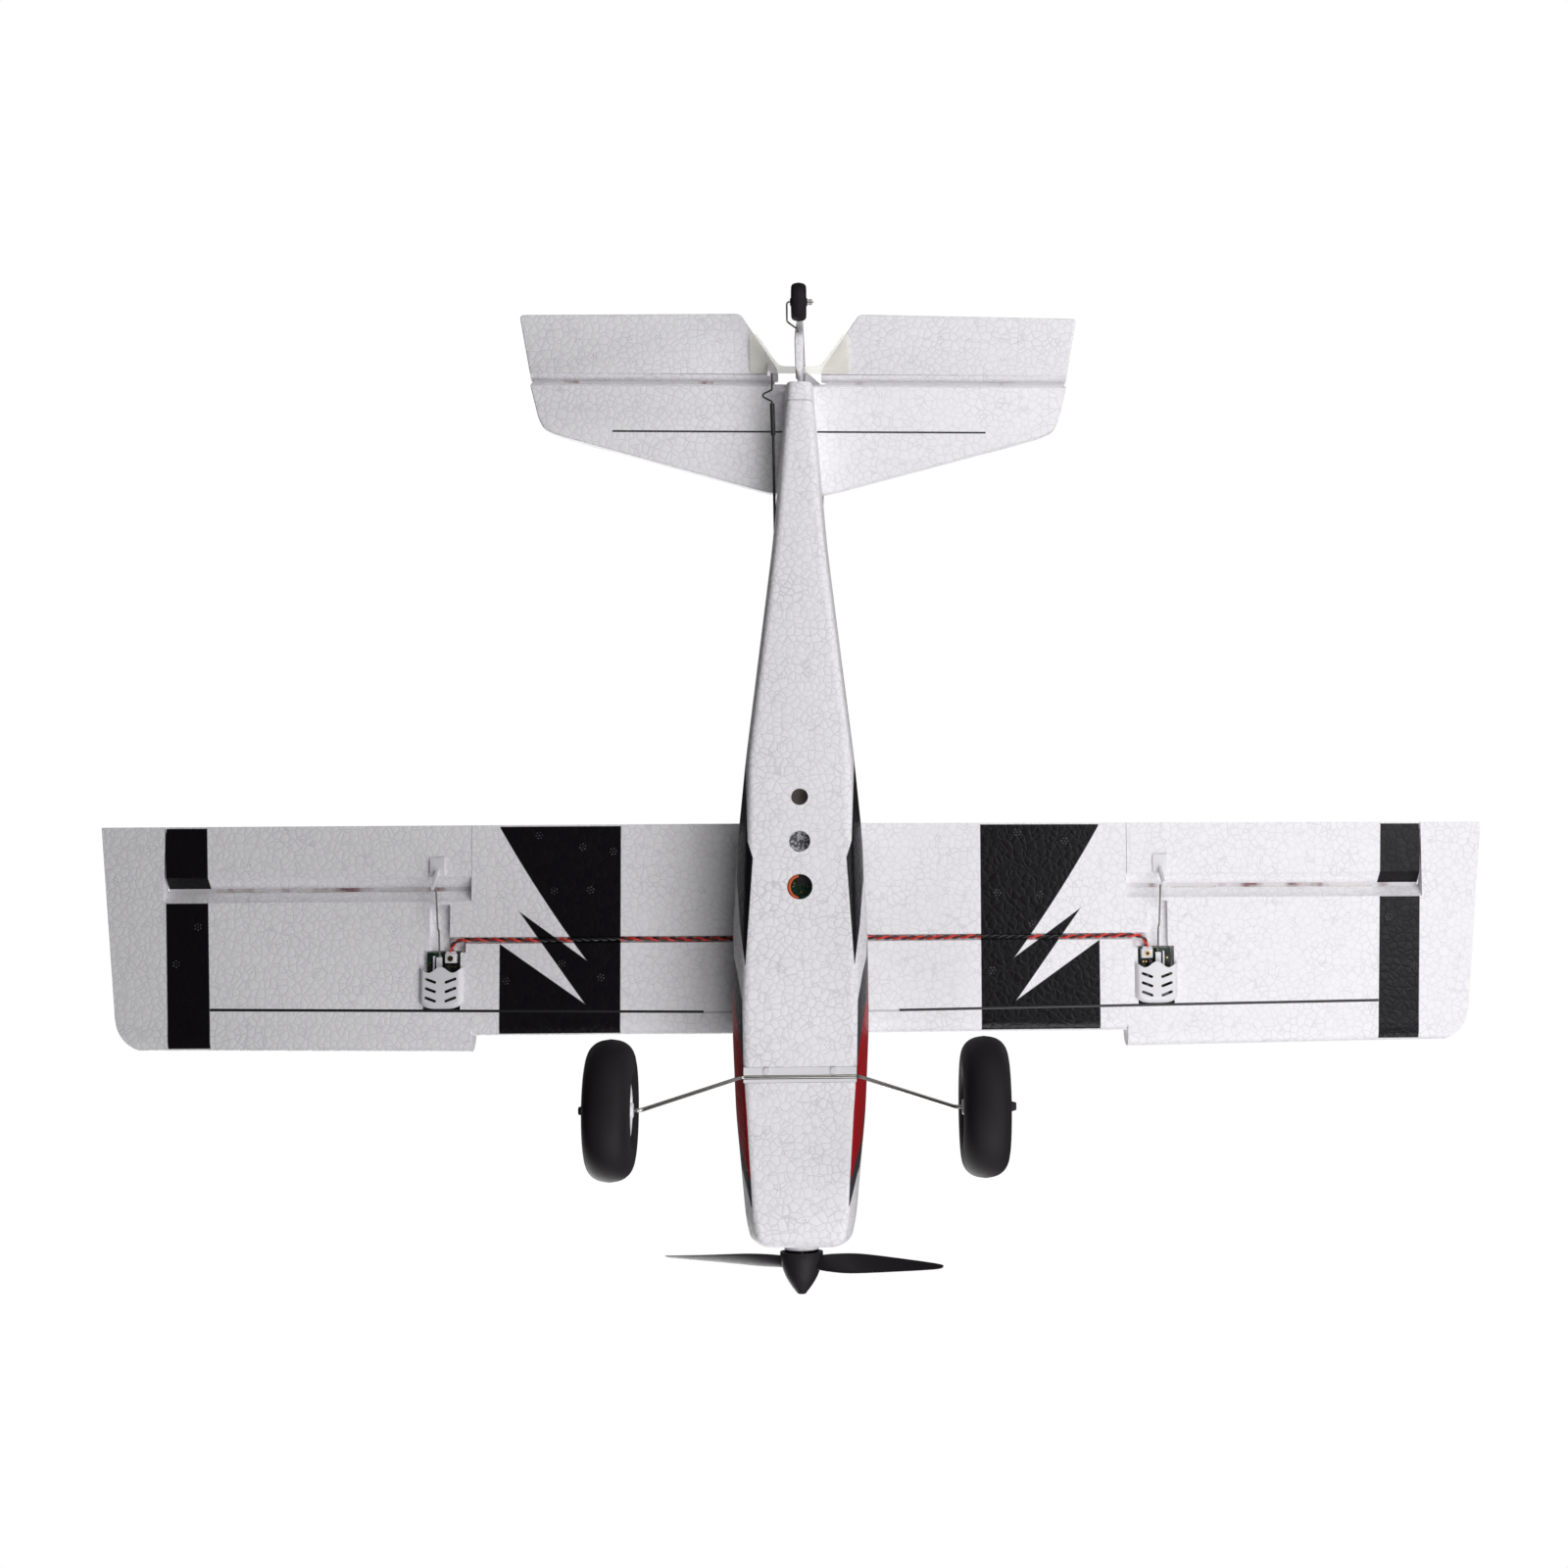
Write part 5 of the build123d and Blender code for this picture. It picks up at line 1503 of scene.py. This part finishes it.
# %% Steam vent marks
SIXTHS = np.arange(6) * math.pi / 3
DOT = np.array([(math.cos(a), math.sin(a), 0.0) for a in SIXTHS] + [(0, 0, -1.0)])
DOT_FACES = [[k, 6, (k + 1) % 6] for k in range(6)]
DOT_SIZE = (0.40, 0.40, 0.13)
FLOWER_R = 1.35
SUNK = -0.01
random = np.random.default_rng(11)


def vent_marks(centres):
    """Every dot of every flower at once: centre + ring offset + small dome, then their faces."""
    centres = np.asarray(centres, float)
    spin = random.uniform(0, math.pi, len(centres))[:, None]
    angle = spin + np.arange(7)[None] * math.pi / 3
    reach = np.where(np.arange(7) == 6, 0.0, FLOWER_R)[None]
    ring = np.stack([reach * np.cos(angle), reach * np.sin(angle), 0 * angle], -1)
    size = random.uniform(0.55, 1.0, (len(centres), 7, 1, 1))
    dome = DOT[None, None] * DOT_SIZE * size
    points = centres[:, None, None] + ring[:, :, None] + dome
    count = len(centres) * 7
    faces = (np.array(DOT_FACES)[None] + 7 * np.arange(count)[:, None, None]).reshape(-1, 3)
    return points.reshape(-1, 3), faces.tolist()


def scattered(x0, x1, y0, y1, step, jitter=5.0):
    """A grid of places, every second row shifted, each moved a little."""
    x, y = np.meshgrid(np.arange(x0, x1, step), np.arange(y0, y1, step * 0.9))
    x = x + (np.arange(x.shape[0]) % 2)[:, None] * step / 2
    places = np.stack([x, y], -1).reshape(-1, 2)
    places = places + random.uniform(-jitter, jitter, places.shape)
    x, y = places.T
    return places[(x > x0) & (x < x1) & (y > y0) & (y < y1)]


def mirrored(places):
    """Every place and its mirror image on the other side."""
    return np.concatenate([places, places * [-1, 1]])


def vent_foam():
    """Slightly duller than the skin, and under the same black paint as the wing."""
    g = Graph("vent_foam")
    bare = g.mix(g.noise(500.0), (0.70, 0.69, 0.72), (0.56, 0.55, 0.58))
    where = g.datum()
    painted = either(g, spear_panel(g, *where), tip_band(g, *where))
    colour = g.mix(painted, bare, (0.065, 0.062, 0.070))
    return g.finish(colour, 0.55, g.bump(g.noise(2000.0), 0.00003, 0.6))


vent_skin = vent_foam()


def flat_marks(places, height):
    """Marks at one height, or at a height for each place."""
    return vent_marks(np.column_stack([places, np.broadcast_to(height, len(places))]))


for name, side in SIDES:
    places = scattered(36, 303, -84, -4, 21.0)
    x, y = places.T
    servo = (np.abs(x - SERVO_X) < 14) & (y < -34)
    hinge = (x > 142) & (x < 283) & (y > -38)
    lines = (np.abs(y + 50.6) < 3.4) | (np.abs(y + 81.6) < 3.0)
    parts = [flat_marks(places[~(servo | hinge | lines)], SUNK)]
    wing_piece(name + "_wing_vents", side, parts, vent_skin)
    places = scattered(150, 277, -17, -3, 19.0, 3.0)
    wing_piece(name + "_aileron_vents", side, [flat_marks(places, SUNK)], vent_skin,
               body=name + "_aileron")
places = scattered(-17, 17, -170, 175, 17.0, 4.0)
half = np.interp(places[:, 1], HULL[:, 0], HULL[:, 1]) - 4.0
places = places[np.abs(places[:, 0]) < half]
gap = np.abs(places[:, 1] - GEAR_Y) > 8
for y, radius in BELLY_HOLES:
    gap &= np.hypot(places[:, 0], places[:, 1] - y) > radius + 3
places = places[gap]
belly = eased(places[:, 1], HULL[:, 4])
add_piece("belly_vents", *flat_marks(places, belly + SUNK), "airframe", vent_skin)
places = scattered(20, 108, 155, 190, 19.0)
places = places[(places[:, 1] > 150 + 0.25 * places[:, 0]) & (np.abs(places[:, 1] - 173) > 3)]
marks = flat_marks(mirrored(places), STAB_LOW + SUNK)
add_piece("stabilizer_vents", *marks, "airframe", vent_skin)
places = mirrored(scattered(30, 118, 201, 223, 19.0))
under = STAB_HIGH - (STAB_HIGH - STAB_LOW) * thinning(places[:, 1])
add_piece("elevator_vents", *flat_marks(places, under + SUNK), "elevator", vent_skin)
print("vent marks made")

# %% [markdown]
# A control surface hangs on a thin web of foam left uncut along the hinge line, so nothing shows
# through the gap. Each web is a flat bar in several short spans across the hinge, one still piece
# laid across the gap. Glue has stained the webs here and there.

# %% Hinge webs
def shaded_stained_foam():
    """Painted-shade grey foam with dull pink and brown glue marks in patches along the hinge."""
    g = Graph("hinge_shade_and_stain")
    x, y, z = g.datum()
    row = g.node("ShaderNodeCombineXYZ", X=x, Y=g.math("MULTIPLY", y, 0.2), Z=z)
    patches = g.node("ShaderNodeTexNoise", Vector=row.outputs[0], Scale=0.055, Detail=4.0)
    mark = g.math("MULTIPLY_ADD", patches.outputs[0], 9.0, -5.0, clamp=True)
    hue = g.node("ShaderNodeTexNoise", Vector=row.outputs[0], Scale=0.21, Detail=2.0)
    stain = g.mix(hue.outputs[0], (0.42, 0.20, 0.22), (0.10, 0.09, 0.09))
    # The base grey, darker than the bare skin, is painted shade along the hinge line.
    colour = g.mix(mark, (0.74, 0.72, 0.75), stain)
    return g.finish(colour, 0.6, g.bump(g.noise(900.0), 0.00005, 0.6))


hinge_shade_and_stain = shaded_stained_foam()


def web(x0, x1, y0, y1, low, high, rows=24, spans=6):
    """A bar from x0 to x1, its closed section a flat loop of points from y0 to y1 and back."""
    y = np.linspace(y0, y1, spans + 1)
    loop = np.concatenate([np.stack([y, 0 * y + low], -1), np.stack([y[::-1], 0 * y + high], -1)])
    x = np.linspace(x0, x1, rows)
    points = np.concatenate(
        [np.broadcast_to(x[:, None, None], (rows, len(loop), 1)),
         np.broadcast_to(loop[None], (rows, *loop.shape))], -1
    )
    return points.reshape(-1, 3), tube_skin(rows, len(loop))


def hinge_web(name, points, faces):
    """A web across the gap between the fixed body and the moving one, as one still piece."""
    piece = named(points, faces, name, hinge_shade_and_stain)
    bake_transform(piece)


for name, side in SIDES:
    points, faces = web(11.2, 118.4, ELEVATOR_Y - 1.4, ELEVATOR_Y + 1.4, 34.05, 34.75)
    hinge_web(name + "_elevator_web", points * [side, 1, 1], faces)
    points, faces = web(145.5, 279.5, -29.3, -26.7, 5.25, 5.75)
    start, end = lift_wing([210.0, -28.8, 5.5], side), lift_wing([210.0, -27.2, 5.5], side)
    hinge_web(name + "_aileron_web", lift_wing(points, side), faces)
points, faces = web(36.4, 104.6, RUDDER_Y - 1.0, RUDDER_Y + 1.2, -0.22, 0.22)
points = np.stack([points[:, 2], points[:, 1], points[:, 0]], -1)
hinge_web("rudder_web", points, faces)
print("hinge webs made")

# %% [markdown]
# Three round windows in the belly show what lies on the floor: a brown card, a pale label with
# a block pattern, and the edge of the board with an orange wire looped round it. The joiner is
# a bent piece of clear sheet, rounded where it turns from one elevator to the other.

# %% Belly windows and joiner
def label_pattern():
    """A generic block pattern on pale card."""
    g = Graph("block_label")
    shape = {"feature": "F1", "distance": "CHEBYCHEV"}
    cells = g.node("ShaderNodeTexVoronoi", shape, Vector=g.object, Scale=950.0)
    tone = g.node("ShaderNodeSeparateColor", Color=cells.outputs["Color"])
    dark = g.math("GREATER_THAN", tone.outputs[0], 0.58)
    colour = g.mix(dark, (0.50, 0.50, 0.51), (0.10, 0.10, 0.11))
    return g.finish(colour, 0.6, g.bump(g.noise(900.0), 0.00002, 0.4))


block_label = label_pattern()


add_piece("belly_card", *rounded_block(-6, 6, 3, 14.8, 4.62, 5.0), "airframe", brown_card)
add_piece("belly_label", *rounded_block(-7, 7, -17, -3.2, 4.62, 5.0), "airframe", block_label)
bend = np.radians(np.linspace(-78, 78, 24))
loop = np.stack([5.0 * np.cos(bend) - 0.4, 5.0 * np.sin(bend) - 29.2, 0 * bend + 5.1], -1)
add_piece("orange_loop", *tube(loop, 0.75, 12), "airframe", orange_edge)
add_piece("solder_dot", *pin(-0.6, -31.4, 5.2, 6.05, 0.5), "airframe", gold_pin)
shield = rounded_block(-4.5, 1.6, -28.6, -24.4, 5.3, 6.05, 0.2)
add_piece("board_shield", *shield, "airframe", dark_part)

half = [(22.0, 199.2), (22.0, 217.0), (19.3, 217.0), (10.6, 204.4), (8.4, 202.4)]
corner = np.array([2.0, 1.5, 1.0, 5.0, 3.0])
outline = [(-x, y) for x, y in half] + half[::-1]
joiner = plate(outline, 29.1, 29.92, 0.15, np.r_[corner, corner[::-1]], 3)
add_piece("joiner_sheet", *joiner, "elevator", film, "clear_plastic", ("elevator_joiner",))
print("belly windows and joiner made")
